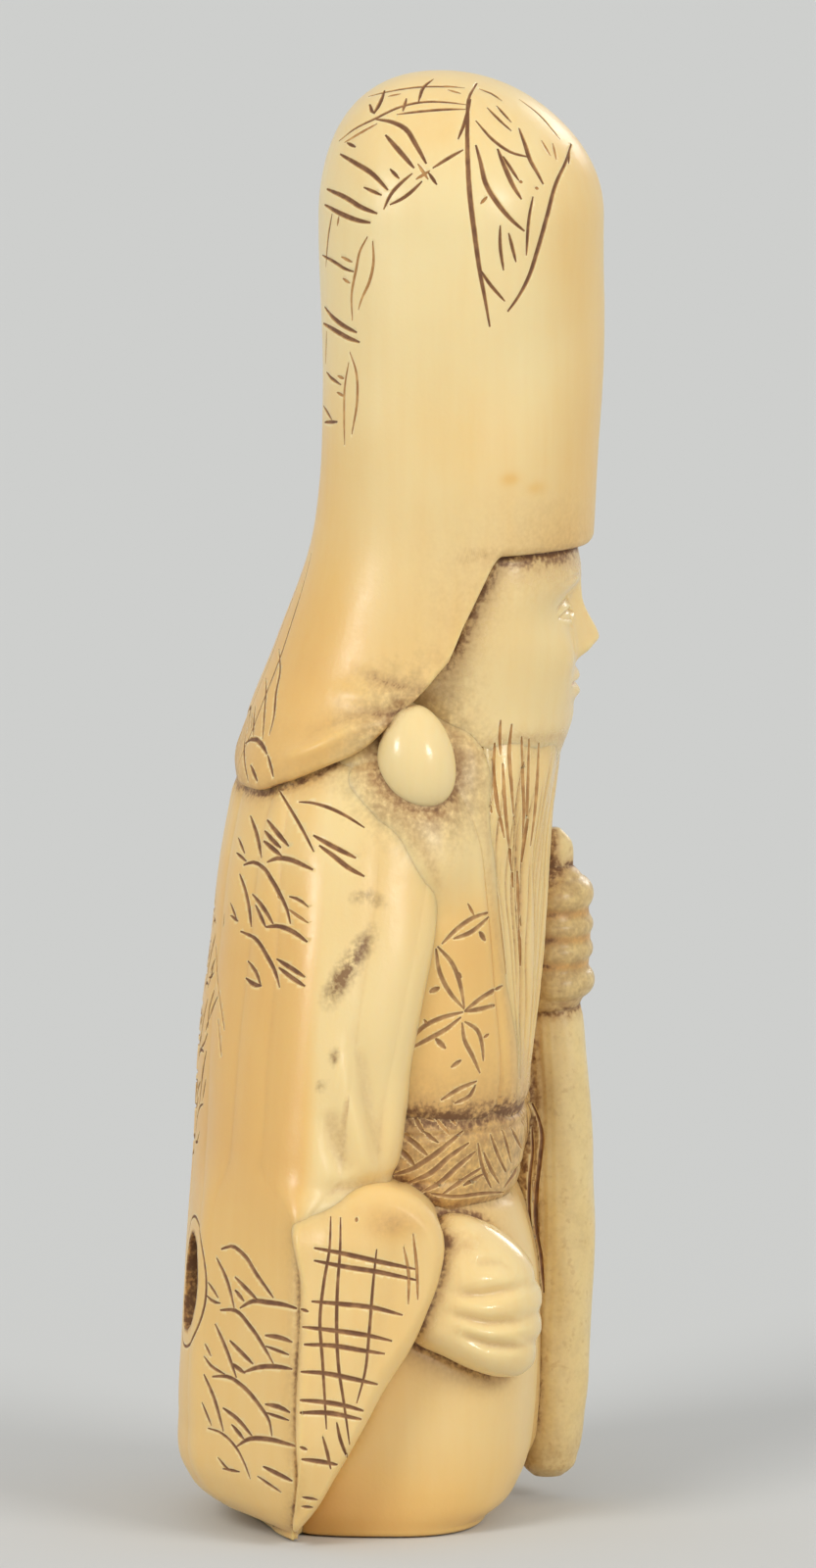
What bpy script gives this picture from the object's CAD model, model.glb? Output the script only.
# %% [markdown]
# # A standing netsuke in stained ivory
#
# The object is a hooded elder with a long beard and a staff, carved in the round from one piece
# of ivory, 70 mm tall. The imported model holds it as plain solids. This script dresses them: each
# carved form becomes one fine surface, neighbouring forms run into each other as they do in one
# block of ivory, and the brown stain sits where the carver's tool went deepest.

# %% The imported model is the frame
import math
import bpy
import bmesh
import numpy as np
from mathutils import Euler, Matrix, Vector
from mathutils.bvhtree import BVHTree


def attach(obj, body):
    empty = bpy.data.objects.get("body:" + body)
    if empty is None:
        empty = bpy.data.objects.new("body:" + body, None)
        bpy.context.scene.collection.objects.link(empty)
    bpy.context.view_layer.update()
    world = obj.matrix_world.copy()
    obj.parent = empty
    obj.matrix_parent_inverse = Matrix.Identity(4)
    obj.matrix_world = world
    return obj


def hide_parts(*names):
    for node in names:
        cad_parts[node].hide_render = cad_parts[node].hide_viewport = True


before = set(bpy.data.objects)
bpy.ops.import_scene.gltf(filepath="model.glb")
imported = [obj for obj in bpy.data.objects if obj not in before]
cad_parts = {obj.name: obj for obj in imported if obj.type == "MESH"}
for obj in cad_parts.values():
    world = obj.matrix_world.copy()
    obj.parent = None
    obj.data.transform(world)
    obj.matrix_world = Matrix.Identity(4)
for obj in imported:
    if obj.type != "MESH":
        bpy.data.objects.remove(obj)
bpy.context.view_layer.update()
print("nodes:", ", ".join(sorted(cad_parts)))

# %% [markdown]
# Carvers think in millimetres, so the sizes below are millimetres. `MM` turns them into metres
# when a surface becomes a mesh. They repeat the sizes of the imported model's solids.

# %% Sizes of the carving
MM = 0.001
HEIGHT = 70.0
# The hood: level of its brow edge, half its width and depth at the top, its middle in y, the
# height of its dome, and the powers of its outlines in front, behind and from the side.
BROW = 47.3
HOOD_HALF_WIDTH = 6.65
HOOD_HALF_DEPTH = 6.82
HOOD_CENTRE = -3.6
DOME = 7.0
HOOD_FRONT_POWER, HOOD_BACK_POWER, DOME_POWER = 1.9, 2.5, 2.1
# The staff: its place at the foot, the level of the foot, its length, lean and bow.
STAFF_X, STAFF_Y = 4.3, -7.8
STAFF_FOOT, STAFF_LENGTH = 1.1, 31.7
STAFF_LEAN, STAFF_BOW = 0.2, 0.65
# The cord holes: their level, distance from the middle, half width and half height, and the y
# of the back between them.
HOLE_LEVEL, HOLE_X, HOLE_HALF_WIDTH, HOLE_HALF_HEIGHT, HOLE_Y = 11.9, 3.6, 1.75, 2.35, 9.9
# The sleeves: x of their outer faces at the back edge, and the y of that edge.
SLEEVE_X, SLEEVE_BACK = 11.72, 4.4

# %% [markdown]
# ## Two small tools
#
# A carved form is a stack of level outlines. Only a few outlines are designed by hand, and the
# ones between follow from a smooth curve through the designed sizes. `smooth` is that curve, and
# `add_shell` turns the finished stack, an array of rows by columns by xyz, into a closed mesh.

# %% Smooth curves through designed sizes
def smooth(at, keys, values):
    """Cubic Hermite curve through (key, value) pairs, each slope taken from the neighbours.

    Between two keys the value is h00 a + h10 w p + h01 b + h11 w q, with the usual four cubic
    blends of the position t, the two values a and b, their slopes p and q, and the gap w.
    """
    keys, values = np.asarray(keys, float), np.asarray(values, float)
    slopes = np.gradient(values, keys, axis=0)
    at = np.clip(at, keys[0], keys[-1])
    low = np.clip(np.searchsorted(keys, at) - 1, 0, len(keys) - 2)
    gap = keys[low + 1] - keys[low]
    t = (at - keys[low]) / gap
    if values.ndim > 1:
        t, gap = t[..., None], gap[..., None]
    a, b, p, q = values[low], values[low + 1], slopes[low], slopes[low + 1]
    return (
        (2 * t**3 - 3 * t**2 + 1) * a + (t**3 - 2 * t**2 + t) * gap * p
        + (3 * t**2 - 2 * t**3) * b + (t**3 - t**2) * gap * q
    )


def bell(distance, width):
    """A soft bump, exp(-(distance / width)^2)."""
    return np.exp(-((distance / width) ** 2))


def step(low, high, value):
    """0 up to low, 1 from high on, 3t^2 - 2t^3 between. Low may be the greater number."""
    t = np.clip((value - low) / (high - low), 0.0, 1.0)
    return t * t * (3.0 - 2.0 * t)


# %% A stack of outlines becomes a closed mesh
def add_mesh(name, vertices, faces):
    """A smooth-shaded object in metres from vertices in millimetres."""
    mesh = bpy.data.meshes.new(name)
    mesh.from_pydata((np.asarray(vertices) * MM).tolist(), [], faces)
    mesh.shade_smooth()
    obj = bpy.data.objects.new(name, mesh)
    bpy.context.scene.collection.objects.link(obj)
    return obj


def add_shell(name, grid):
    """Quads between neighbouring rows, wrapped round the columns, and a fan over each end.

    Rows run upwards and columns anticlockwise as seen from above, so faces point outwards.
    """
    rows, columns = grid.shape[:2]
    index = np.arange(rows * columns).reshape(rows, columns)
    after = np.roll(index, -1, axis=1)
    quads = np.stack((index[:-1], after[:-1], after[1:], index[1:]), axis=-1).reshape(-1, 4)
    bottom, top = rows * columns, rows * columns + 1
    low_fan = np.stack((after[0], index[0], np.full(columns, bottom)), axis=-1)
    high_fan = np.stack((index[-1], after[-1], np.full(columns, top)), axis=-1)
    vertices = np.vstack((grid.reshape(-1, 3), grid[0].mean(axis=0), grid[-1].mean(axis=0)))
    return add_mesh(name, vertices, quads.tolist() + low_fan.tolist() + high_fan.tolist())


def tell(*pieces):
    """Print how many triangles each piece has."""
    for piece in pieces:
        print(piece.name, "triangles:", sum(len(f.vertices) - 2 for f in piece.data.polygons))


# %% [markdown]
# ## Level outlines
#
# Round forms use two half superellipses that meet at the widest line, so front and back can
# differ in fullness. Flat, cut forms, such as the coat and the sleeves, use corners that are
# softened by a short curve, the way a knife leaves a plane and a thumb rounds its edge.

# %% Outlines of round forms
def round_form(z, sizes, turn, front_power, back_power):
    """Half superellipses: x = half |cos|^(2/n), y = widest + depth |sin|^(2/n), each with its sign.

    z is rows by columns or rows by 1. sizes gives half width, front, widest and back at each z.
    """
    half, front, widest, back = np.moveaxis(sizes, -1, 0)
    across, along = np.cos(turn), np.sin(turn)
    behind = along >= 0.0
    power = np.where(behind, back_power, front_power)
    depth = np.where(behind, back - widest, widest - front)
    x = half * np.sign(across) * np.abs(across) ** (2.0 / power)
    y = widest + depth * np.sign(along) * np.abs(along) ** (2.0 / power)
    return np.stack((x, y, np.broadcast_to(z, x.shape)), axis=-1)


def turns(columns, crowd=0.0):
    """Angles round an outline, from +X anticlockwise. `crowd` draws them towards the front."""
    turn = np.linspace(0.0, 2.0 * math.pi, columns, endpoint=False)
    return turn - crowd * np.cos(turn)


# %% Outlines of cut forms
def cut_outlines(levels, corners, reach, arc, edge, bulge):
    """Rows of polygons with softened corners.

    `corners` is rows by corners by xy, anticlockwise. Each corner becomes a quadratic curve that
    starts its own `reach` before it, and each edge between is a line that may bulge outwards by
    4 t (1 - t) times `bulge`.
    """
    before = np.roll(corners, 1, axis=1) - corners
    after = np.roll(corners, -1, axis=1) - corners
    reach_before = np.minimum(reach / np.linalg.norm(before, axis=2, keepdims=True), 0.45)
    reach_after = np.minimum(reach / np.linalg.norm(after, axis=2, keepdims=True), 0.45)
    start, end = corners + before * reach_before, corners + after * reach_after
    t = np.linspace(0.0, 1.0, arc)[:, None]
    curve = (
        (1 - t) ** 2 * start[:, :, None] + 2 * t * (1 - t) * corners[:, :, None]
        + t**2 * end[:, :, None]
    )
    following = np.roll(start, -1, axis=1)
    s = np.linspace(0.0, 1.0, edge + 2)[1:-1, None]
    line = end[:, :, None] * (1 - s) + following[:, :, None] * s
    along = following - end
    outward = np.stack((along[..., 1], -along[..., 0]), axis=-1)
    outward = outward / np.linalg.norm(outward, axis=2, keepdims=True)
    line = line + outward[:, :, None] * (4 * s * (1 - s) * bulge)
    flat = np.concatenate((curve, line), axis=2).reshape(len(corners), -1, 2)
    z = np.broadcast_to(levels[:, None, None], flat.shape[:2] + (1,))
    return np.concatenate((flat, z), axis=2)


def eased_ends(grid, bottom=0.3, top=0.3, rows=6):
    """The grid with rims rounded over a quarter circle, and rows that close both ends."""
    turn = np.linspace(0.0, math.pi / 2, rows)[:, None, None]

    def rim(edge, radius, direction):
        """Rows inward by radius (1 - sin t) and up or down by radius cos t."""
        centre = edge.mean(axis=0)
        spread = edge - centre
        length = np.linalg.norm(spread[:, :2], axis=1)[None, :, None]
        inward = 1.0 - radius * (1.0 - np.sin(turn)) / np.maximum(length, radius)
        ring = centre + spread * inward
        ring[..., 2] = edge[:, 2] + direction * radius * np.cos(turn[..., 0])
        return ring

    def floor_rows(edge):
        """Rows between the middle of an edge and the edge."""
        shares = np.array((0.15, 0.5, 0.8))[:, None, None]
        return edge.mean(axis=0) * (1 - shares) + edge * shares

    low = rim(grid[0], bottom, -1.0)[:-1]
    high = rim(grid[-1], top, 1.0)[::-1][1:]
    return np.concatenate((floor_rows(low[0]), low, grid, high, floor_rows(high[-1])[::-1]))


print("outline tools ready")

# %% [markdown]
# ## A carver's hand
#
# No line of a hand carving is ruler-straight. One slow wave field, the same for every piece so
# that neighbours stay together, moves each point by a few hundredths of a millimetre.

# %% The slow waves of hand work
def hand_worked(grid, amount=0.06):
    """Moves x and y by sums of slow sines of the place itself."""
    x, y, z = grid[..., 0], grid[..., 1], grid[..., 2]
    shift_x = np.sin(0.31 * z + 0.5 * y) + 0.6 * np.sin(0.83 * z - 0.7 * x + 1.3)
    shift_y = np.sin(0.27 * z + 0.6 * x + 2.1) + 0.6 * np.sin(0.71 * z + 0.4 * y + 0.4)
    moved = grid.copy()
    moved[..., 0] += amount * shift_x
    moved[..., 1] += amount * shift_y
    return moved


def outward(grid):
    """Unit normals of a grid, from the cross product of its two directions."""
    around = np.roll(grid, -1, axis=1) - np.roll(grid, 1, axis=1)
    upward = np.gradient(grid, axis=0)
    normal = np.cross(around, upward)
    return normal / np.maximum(np.linalg.norm(normal, axis=-1, keepdims=True), 1e-9)


# %% [markdown]
# ## Soft modelling on a surface
#
# Folds, creases and hair are shallow next to the form that carries them. Each is a line drawn
# on the side view, in millimetres of y and z, and the surface moves along its own normal by an
# amount that depends on the distance from that line.

# %% Distance from drawn lines
def line_reach(y, z, line):
    """Distance from each (y, z) to a polyline, and how far along it, 0 to 1, the foot lies."""
    line = np.asarray(line, float)
    lengths = np.linalg.norm(np.diff(line, axis=0), axis=1)
    starts = np.concatenate(([0.0], np.cumsum(lengths)))
    best, along = np.full(np.shape(y), 1e9), np.zeros(np.shape(y))
    for a, b, start, length in zip(line, line[1:], starts, lengths):
        ahead_y, ahead_z = b - a
        t = np.clip(((y - a[0]) * ahead_y + (z - a[1]) * ahead_z) / length**2, 0.0, 1.0)
        distance = np.hypot(y - a[0] - t * ahead_y, z - a[1] - t * ahead_z)
        nearer = distance < best
        best = np.where(nearer, distance, best)
        along = np.where(nearer, (start + t * length) / starts[-1], along)
    return best, along


def drawn(y, z, lines):
    """Sum of amount * bell(distance, width) * sqrt(sin(pi * along)) over the lines.

    A line is (amount, width, points), and along stays between 0.02 and 0.98.
    """
    total = np.zeros(np.shape(y))
    for amount, width, points in lines:
        distance, along = line_reach(y, z, points)
        taper = np.sqrt(np.clip(np.sin(math.pi * np.clip(along, 0.02, 0.98)), 0.0, 1.0))
        total += amount * bell(distance, width) * taper
    return total


print("drawn lines ready")

# %% [markdown]
# ## The hood
#
# A tall cap of soft planes with a domed crown. Its lower edge is one line seen from the side:
# level over the brow, steeply down along the cheek, then along the hem over the nape. A lathe
# profile would lose that edge, so the rows of the grid run from the edge line up to the crown.

# %% Hood shape
HOOD_KEYS = np.array([
    # level, half width, front, widest, back
    (33.9, 8.0, -7.8, 0.3, 7.7),
    (35.8, 7.9, -8.0, 0.0, 7.4),
    (38.0, 7.6, -8.5, -1.0, 7.0),
    (42.6, 6.9, -9.5, -3.0, 5.2),
    (47.0, 6.65, -9.9, -3.8, 3.7),
    (50.3, 6.65, -10.1, -3.9, 3.22),
    (59.0, 6.65, -10.42, -3.9, 3.22),
])
HOOD_EDGE = np.array([
    # y, level
    (-14.0, 47.3), (-5.3, 47.3), (-1.9, 40.6), (1.2, 38.2), (3.6, 37.0), (6.2, 35.8), (14.0, 35.0),
])
HOOD_FOLDS = [
    # amount, width, points (y, z): soft cloth folds that run together above the ear lobe
    (-0.12, 0.36, [(1.4, 41.9), (0.2, 41.4), (-1.5, 41.0)]),
    (-0.17, 0.36, [(2.2, 39.4), (0.6, 39.8), (-0.9, 40.2), (-2.0, 40.4)]),
    (0.14, 0.45, [(2.6, 40.9), (1.0, 40.7), (-0.8, 40.8)]),
    (0.48, 0.42, [(4.8, 37.6), (3.2, 38.2), (1.6, 39.1), (0.2, 39.8)]),
]


def hood_outline(z, turn):
    """Outline points of the hood at any level.

    In the dome the sizes shrink by (1 - h^n)^(1/n), h from 0 to 1 and n the dome's power, and
    the middle moves back by h^2.
    """
    spring = HEIGHT - DOME
    sizes = smooth(np.minimum(z, spring), HOOD_KEYS[:, 0], HOOD_KEYS[:, 1:])
    height = np.clip((z - spring) / DOME, 0.0, 1.0)
    share = np.maximum(1.0 - height**DOME_POWER, 0.0) ** (1.0 / DOME_POWER)
    centre = HOOD_CENTRE + 1.0 * height**2
    in_dome = z > spring
    dome = np.stack((
        HOOD_HALF_WIDTH * share,
        centre - HOOD_HALF_DEPTH * share,
        centre - 0.3 * share,
        centre + HOOD_HALF_DEPTH * share,
    ), axis=-1)
    sizes = np.where(in_dome[..., None], dome, sizes)
    return round_form(z, sizes, turn, HOOD_FRONT_POWER, HOOD_BACK_POWER)


def hood_edge_levels(turn):
    """Level of the lower edge for each column: a few rounds of look-up, then a mean of seven."""
    level = np.full(turn.shape, BROW)
    for _ in range(8):
        y = hood_outline(level, turn)[..., 1]
        level = np.interp(y, HOOD_EDGE[:, 0], HOOD_EDGE[:, 1])
    kernel = np.ones(7) / 7
    return np.convolve(np.concatenate((level[-3:], level, level[:3])), kernel, "valid")


def make_hood(columns=400, rows=190):
    """Rows down inside the rim to the edge, then evenly up the walls, then up the dome as sin t.

    A low ridge down each flank, a rolled hem and folds then move it along its normals.
    """
    turn = turns(columns)
    edge = hood_edge_levels(turn)
    spring = HEIGHT - DOME
    # The inside: share of the outline, and level above the edge.
    lip_in = np.array((0.30, 0.60, 0.80, 0.86, 0.89, 0.92, 0.955, 0.98, 0.993))
    lip_up = np.array((2.6, 2.4, 2.0, 1.0, 0.35, 0.10, 0.02, 0.08, 0.22))
    side = np.linspace(0.0, 1.0, rows - 60)[:, None]
    walls = edge + 0.42 + (spring - edge - 0.42) * side
    crown = spring + DOME * np.sin(np.linspace(0.0, math.pi / 2 * 0.985, 60))[1:, None]
    levels = np.vstack((edge + lip_up[:, None], walls, np.repeat(crown, columns, axis=1)))
    grid = hood_outline(levels, turn)
    middle = np.stack((np.zeros(columns), np.full(columns, -2.0)), axis=-1)
    share = np.concatenate((lip_in, np.ones(len(levels) - len(lip_in))))[:, None, None]
    grid[..., :2] = middle + (grid[..., :2] - middle) * share
    x, y, z = np.moveaxis(grid, -1, 0)
    above_edge = z - edge
    ridge = 0.13 * bell(y + 3.7, 1.1) * step(47.0, 52.0, z) * (1 - step(62.0, 67.0, z))
    hem = 0.20 * bell(above_edge - 1.2, 1.1) * step(-1.5, 2.5, y)
    folds = drawn(y, z, HOOD_FOLDS) * step(4.0, 6.0, np.abs(x))
    grid += outward(grid) * (ridge + hem + folds)[..., None]
    return add_shell("carved_hood", hand_worked(grid))


hood = make_hood()
tell(hood)

# %% [markdown]
# ## Flat bags
#
# A hanging sleeve and a closed hand are flat from the side and round at the rim, so both come
# from one outline in the side view.

# %% A flat bag with a round rim
def pillow(name, outline, face, relief, thickness, rim=0.9, columns=360, rows=70):
    """A flat bag with a round rim: the outline (y, z) shrinks to its centre on both faces.

    face(y, z) gives x of the outer face. Both faces sink by rim (1 - sqrt(1 - (1 - d / rim)^2))
    where d, the distance from the outline, is less than rim. relief(y, z) lifts the outer one.
    """
    outline = np.asarray(outline, float)
    closed = np.vstack((outline, outline[:1]))
    reach = np.concatenate(([0.0], np.cumsum(np.linalg.norm(np.diff(closed, axis=0), axis=1))))
    keys = np.concatenate((reach[-4:-1] - reach[-1], reach, reach[1:4] + reach[-1]))
    values = np.vstack((closed[-4:-1], closed, closed[1:4]))
    edge = smooth(np.linspace(0.0, reach[-1], columns, endpoint=False), keys, values)
    centre = edge.mean(axis=0)
    half = rows // 2
    near_rim = 1.0 - 0.14 * np.cos(np.linspace(0.3, math.pi / 2, half))
    share = np.concatenate((np.linspace(0.02, 0.86, half), near_rim))[:, None, None]
    flat = centre + (edge - centre) * share
    y, z = flat[..., 0], flat[..., 1]
    inset = np.linalg.norm(edge - flat, axis=2)
    sink = rim * (1.0 - np.sqrt(np.maximum(1.0 - np.clip(1.0 - inset / rim, 0.0, 1.0) ** 2, 0.0)))
    side = np.sign(face(centre[0], centre[1]))
    outer = np.stack((face(y, z) - side * sink, y, z), axis=-1)
    outer[..., 0] += side * relief(y, z) * step(0.0, 0.5, inset)
    inner = np.stack((face(y, z) - side * (thickness - sink), y, z), axis=-1)
    grid = np.concatenate((inner, outer[::-1]))
    if side > 0:
        grid = grid[:, ::-1]
    return add_shell(name, hand_worked(grid))


# %% [markdown]
# ## Head and face
#
# The head is a stack of level outlines with most columns in front. The face is plain and calm,
# on the proportions of drawing manuals: the eyes halfway down the head, brow, nose and chin a
# third apart, the eyes one eye apart. Each feature is a soft bump or hollow in the front view.

# %% Head keys and facial features
HEAD_KEYS = np.array([
    # level, half width, front, widest, back
    (33.5, 4.6, -6.2, -3.0, 1.6),
    (36.0, 4.95, -7.7, -3.4, 1.8),
    (38.2, 5.25, -8.45, -3.8, 1.8),
    (40.2, 5.65, -8.95, -3.7, 1.8),
    (42.7, 5.95, -9.1, -3.8, 1.6),
    (44.3, 5.95, -8.9, -4.0, 1.4),
    (46.0, 5.9, -9.2, -4.2, 1.2),
    (49.5, 5.5, -8.8, -4.2, 1.0),
])
EYE = (2.15, 44.1)


def face_relief(x, z):
    """How far the face stands out, in millimetres, as a sum of bells in the front view."""
    across = np.abs(x)
    ex, ez = across - EYE[0], z - EYE[1]
    brow = 0.30 * bell(z - 45.75 - 0.16 * np.cos(across), 0.70) * bell(across - 2.1, 1.9)
    in_brow = step(3.9, 3.3, across) * step(0.7, 1.2, across)
    brow_hair = -0.06 * bell(z - 45.95 + 0.07 * (across - 2.0) ** 2, 0.10) * in_brow
    socket = -0.46 * bell(ex, 1.7) * bell(ez - 0.25, 1.05)
    ball = 0.50 * bell(ex, 1.20) * bell(ez, 0.72)
    in_eye = step(1.42, 1.00, np.abs(ex))
    upper_edge = ez - 0.16 + 0.24 * (ex / 1.2) ** 2
    lower_edge = ez + 0.26 - 0.22 * (ex / 1.2) ** 2
    lids = (0.08 * bell(upper_edge - 0.15, 0.15) + 0.05 * bell(lower_edge + 0.13, 0.14)) * in_eye
    lid_cut = -(0.11 * bell(upper_edge, 0.080) + 0.05 * bell(lower_edge, 0.080)) * in_eye
    fold = -0.08 * bell(ez - 0.66 + 0.30 * (ex / 1.2) ** 2, 0.11) * in_eye
    down = step(46.0, 42.7, z)
    ridge_height = 0.28 + 0.84 * down
    ridge_width = 0.60 + 0.42 * down**2
    under = step(41.45, 42.75, z) * step(46.6, 44.8, z)
    nose = ridge_height * bell(x, ridge_width) * under
    tip = 0.08 * bell(x, 0.62) * bell(z - 42.75, 0.60)
    wing = 0.34 * bell(across - 0.88, 0.46) * bell(z - 42.25, 0.45)
    nostril = -0.16 * bell(across - 0.46, 0.24) * bell(z - 41.74, 0.17)
    cheek = 0.30 * bell(across - 3.1, 1.4) * bell(z - 42.3, 1.3)
    hollow = -0.08 * bell(x, 0.30) * bell(z - 41.25, 0.4)
    upper_lip = 0.30 * bell(z - 40.92 + 0.06 * across, 0.32) * bell(across, 1.30)
    lower_lip = 0.34 * bell(z - 40.10 - 0.08 * across, 0.35) * bell(across, 1.10)
    mouth = -0.20 * bell(z - 40.54 - 0.03 * across**2, 0.10) * step(1.85, 1.3, across)
    chin = 0.26 * bell(x, 1.4) * bell(z - 38.9, 0.9)
    return (
        brow + brow_hair + socket + ball + lids + lid_cut + fold + nose + tip + wing + nostril
        + cheek + hollow + upper_lip + lower_lip + mouth + chin
    )


def make_head(columns=400, rows=240):
    """Level outlines through the keys, the face moved forward by face_relief(x, z)."""
    levels = np.linspace(HEAD_KEYS[0, 0], HEAD_KEYS[-1, 0], rows)[:, None]
    sizes = smooth(levels, HEAD_KEYS[:, 0], HEAD_KEYS[:, 1:])
    grid = round_form(levels, sizes, turns(columns, 0.72)[None], 2.25, 2.2)
    x, y, z = np.moveaxis(grid, -1, 0)
    grid[..., 1] -= face_relief(x, z) * step(-2.2, -4.6, y)
    return add_shell("carved_head", hand_worked(grid))


head = make_head()
tell(head)

# %% [markdown]
# ## Ear lobes
#
# A long lobe hangs below each cheek edge of the hood: an egg with its narrow end up. An egg is
# an ellipsoid whose width changes with height, so two angles and one taper give it.

# %% Ear lobes
def make_lobe(name, side, columns=160, rows=90):
    """x = side 6.75 + 1.55 w sin v cos u, y = -1.45 + 1.95 w sin^0.94 v sin u + lean.

    z = 37.75 - 2.6 cos v. With the rise r = (1 - cos v) / 2, the taper w = 1.05 - 0.2 r makes
    the upper end the narrow one, and the lean is 0.45 (r - 0.5).
    """
    u = turns(columns)[None, :]
    v = np.linspace(0.04, math.pi - 0.04, rows)[:, None]
    rise = (1.0 - np.cos(v)) / 2.0
    w = 1.05 - 0.20 * rise
    lean = 0.45 * (rise - 0.5)
    x = side * 6.75 + 1.55 * np.sin(v) * np.cos(u) * w
    y = -1.45 + 1.95 * np.sin(v) ** 0.94 * np.sin(u) * w + lean
    z = 37.75 - 2.6 * np.cos(v) + 0.0 * u
    return add_shell(name, hand_worked(np.stack((x, y, z), axis=-1), 0.03))


right_lobe = make_lobe("carved_right_ear_lobe", -1.0)
left_lobe = make_lobe("carved_left_ear_lobe", 1.0)
tell(right_lobe, left_lobe)

# %% [markdown]
# ## Beard
#
# The beard swings a little towards the right hand and ends at the sash. Its level outline is a
# lens, so its thin edges run out on the chest without a step. Carved hair is a set of V cuts that
# run together towards the tip. Columns of the grid already do that, so a cut follows a column,
# with a slow wave of its own.

# %% Beard
BEARD_KEYS = np.array([
    # level, centre x, half width, front, edge y, back
    (20.30, -2.7, 1.5, -6.45, -5.90, -4.6),
    (20.8, -2.5, 2.2, -6.70, -5.88, -4.2),
    (22.0, -2.2, 2.85, -6.95, -5.80, -3.9),
    (24.6, -1.5, 3.75, -7.28, -5.58, -3.5),
    (28.0, -0.9, 4.75, -7.52, -5.20, -3.2),
    (31.0, -0.5, 5.45, -7.72, -4.86, -2.9),
    (35.1, 0.0, 5.85, -8.02, -4.35, -2.6),
    (37.2, 0.0, 5.45, -8.28, -4.30, -2.6),
    (38.4, 0.0, 5.20, -8.40, -4.30, -3.0),
    (39.4, 0.0, 4.7, -8.10, -4.5, -3.4),
    (40.4, 0.0, 3.9, -7.5, -4.7, -3.8),
])
HAIR_CUTS = np.linspace(math.radians(188), math.radians(352), 33)


def hair_depth(turn, level):
    """0 to 1 where the knife went, exp(-|angle from the cut| / width), the deepest of all cuts.

    Each cut has its own wave, width, start and end.
    """
    depth = np.zeros(np.broadcast_shapes(turn.shape, level.shape))
    share = (level - 20.3) / (39.0 - 20.3)
    for number, cut in enumerate(HAIR_CUTS):
        slow = 0.030 * np.sin(3.1 * share * math.pi + 1.7 * number)
        wave = slow + 0.016 * np.sin(7.3 * share * math.pi + number)
        start = 0.95 + 0.06 * math.sin(2.4 * number + 0.5)
        end = (0.06, 0.38, 0.14, 0.52, 0.10, 0.27)[number % 6]
        top = (1.0, 0.80, 0.95, 0.66, 0.90)[number % 5] * start
        width = 0.024 + 0.009 * math.sin(1.3 * number)
        present = step(end - 0.02, end + 0.14, share) * step(top + 0.03, top - 0.12, share)
        depth = np.maximum(depth, present * np.exp(-np.abs(turn - cut - wave) / width))
    return depth


def make_beard(columns=460, rows=205):
    """Level outlines through the keys, with locks 0.09 mm high and hairs cut 0.20 mm deep.

    Returns the piece and the share of the full cut at every vertex.
    """
    tip, above = np.linspace(20.3, 21.2, 20), np.linspace(21.2, 40.4, rows - 20)[1:]
    levels = np.concatenate((tip, above))[:, None]
    turn = turns(columns, 0.45)[None]
    fullness = 1.5 + 0.7 * step(31.0, 36.5, levels)
    sizes = smooth(levels, BEARD_KEYS[:, 0], BEARD_KEYS[:, 1:])
    grid = round_form(levels, sizes[..., 1:], turn, fullness, 2.2)
    grid[..., 0] += sizes[..., 0]
    edge = np.interp(levels, (21.0, 26.0, 31.0, 35.0, 38.0), (-6.15, -5.8, -5.3, -4.7, -4.5))
    y = grid[..., 1]
    cut = hair_depth(np.mod(turn, 2 * math.pi), levels) * step(edge + 0.1, edge - 0.7, y)
    locks = 0.09 * np.cos(9.0 * turn + 1.5 * np.sin(0.25 * levels))
    locks = locks * step(39.5, 36.0, levels) * step(edge, edge - 1.2, y)
    grid += outward(grid) * (locks - 0.20 * cut)[..., None]
    beard = add_shell("carved_beard", hand_worked(grid))
    return beard, np.concatenate((cut.ravel(), [0.0, 0.0]))


beard, beard_cut = make_beard()
tell(beard)

# %% [markdown]
# ## Robe, sash and skirt
#
# One core, seen between the coat and the beard: the chest of the robe, a sash that is a little
# tighter, and the skirt, which rounds in at the foot.

# %% Core forms
CHEST_KEYS = np.array([
    # level, half width, front, widest, back
    (19.6, 6.9, -6.3, -0.5, 5.0),
    (20.6, 7.35, -6.7, -0.5, 5.0),
    (21.8, 7.6, -6.8, -0.5, 5.0),
    (26.8, 7.7, -6.55, -0.5, 5.0),
    (31.4, 7.7, -6.4, -0.5, 5.0),
    (33.2, 7.6, -6.3, -0.5, 4.8),
    (35.0, 7.3, -6.1, -0.5, 4.6),
    (38.0, 6.2, -5.7, -0.5, 4.0),
    (39.6, 5.1, -5.3, -0.5, 3.4),
])
SASH_KEYS = np.array([
    (15.6, 7.1, -5.95, 0.0, 4.4),
    (16.3, 7.4, -6.25, 0.0, 4.4),
    (17.2, 7.5, -6.5, 0.0, 4.4),
    (18.6, 7.5, -6.72, 0.0, 4.4),
    (19.9, 7.5, -6.78, 0.0, 4.4),
    (20.9, 7.2, -6.4, 0.0, 5.0),
    (21.3, 6.8, -6.0, 0.0, 5.0),
])
SKIRT_KEYS = np.array([
    (0.35, 7.35, -4.9, 0.0, 6.0),
    (1.0, 7.6, -5.8, 0.0, 6.2),
    (2.0, 7.75, -6.45, 0.0, 6.3),
    (3.2, 7.8, -6.9, 0.0, 6.3),
    (4.6, 7.85, -7.1, 0.0, 4.1),
    (9.7, 7.85, -7.2, 0.0, 4.1),
    (12.4, 7.8, -7.12, 0.0, 4.1),
    (14.4, 7.7, -6.75, 0.0, 4.1),
    (15.7, 7.4, -6.25, 0.0, 4.1),
    (16.5, 6.9, -5.8, 0.0, 4.1),
])


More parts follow.
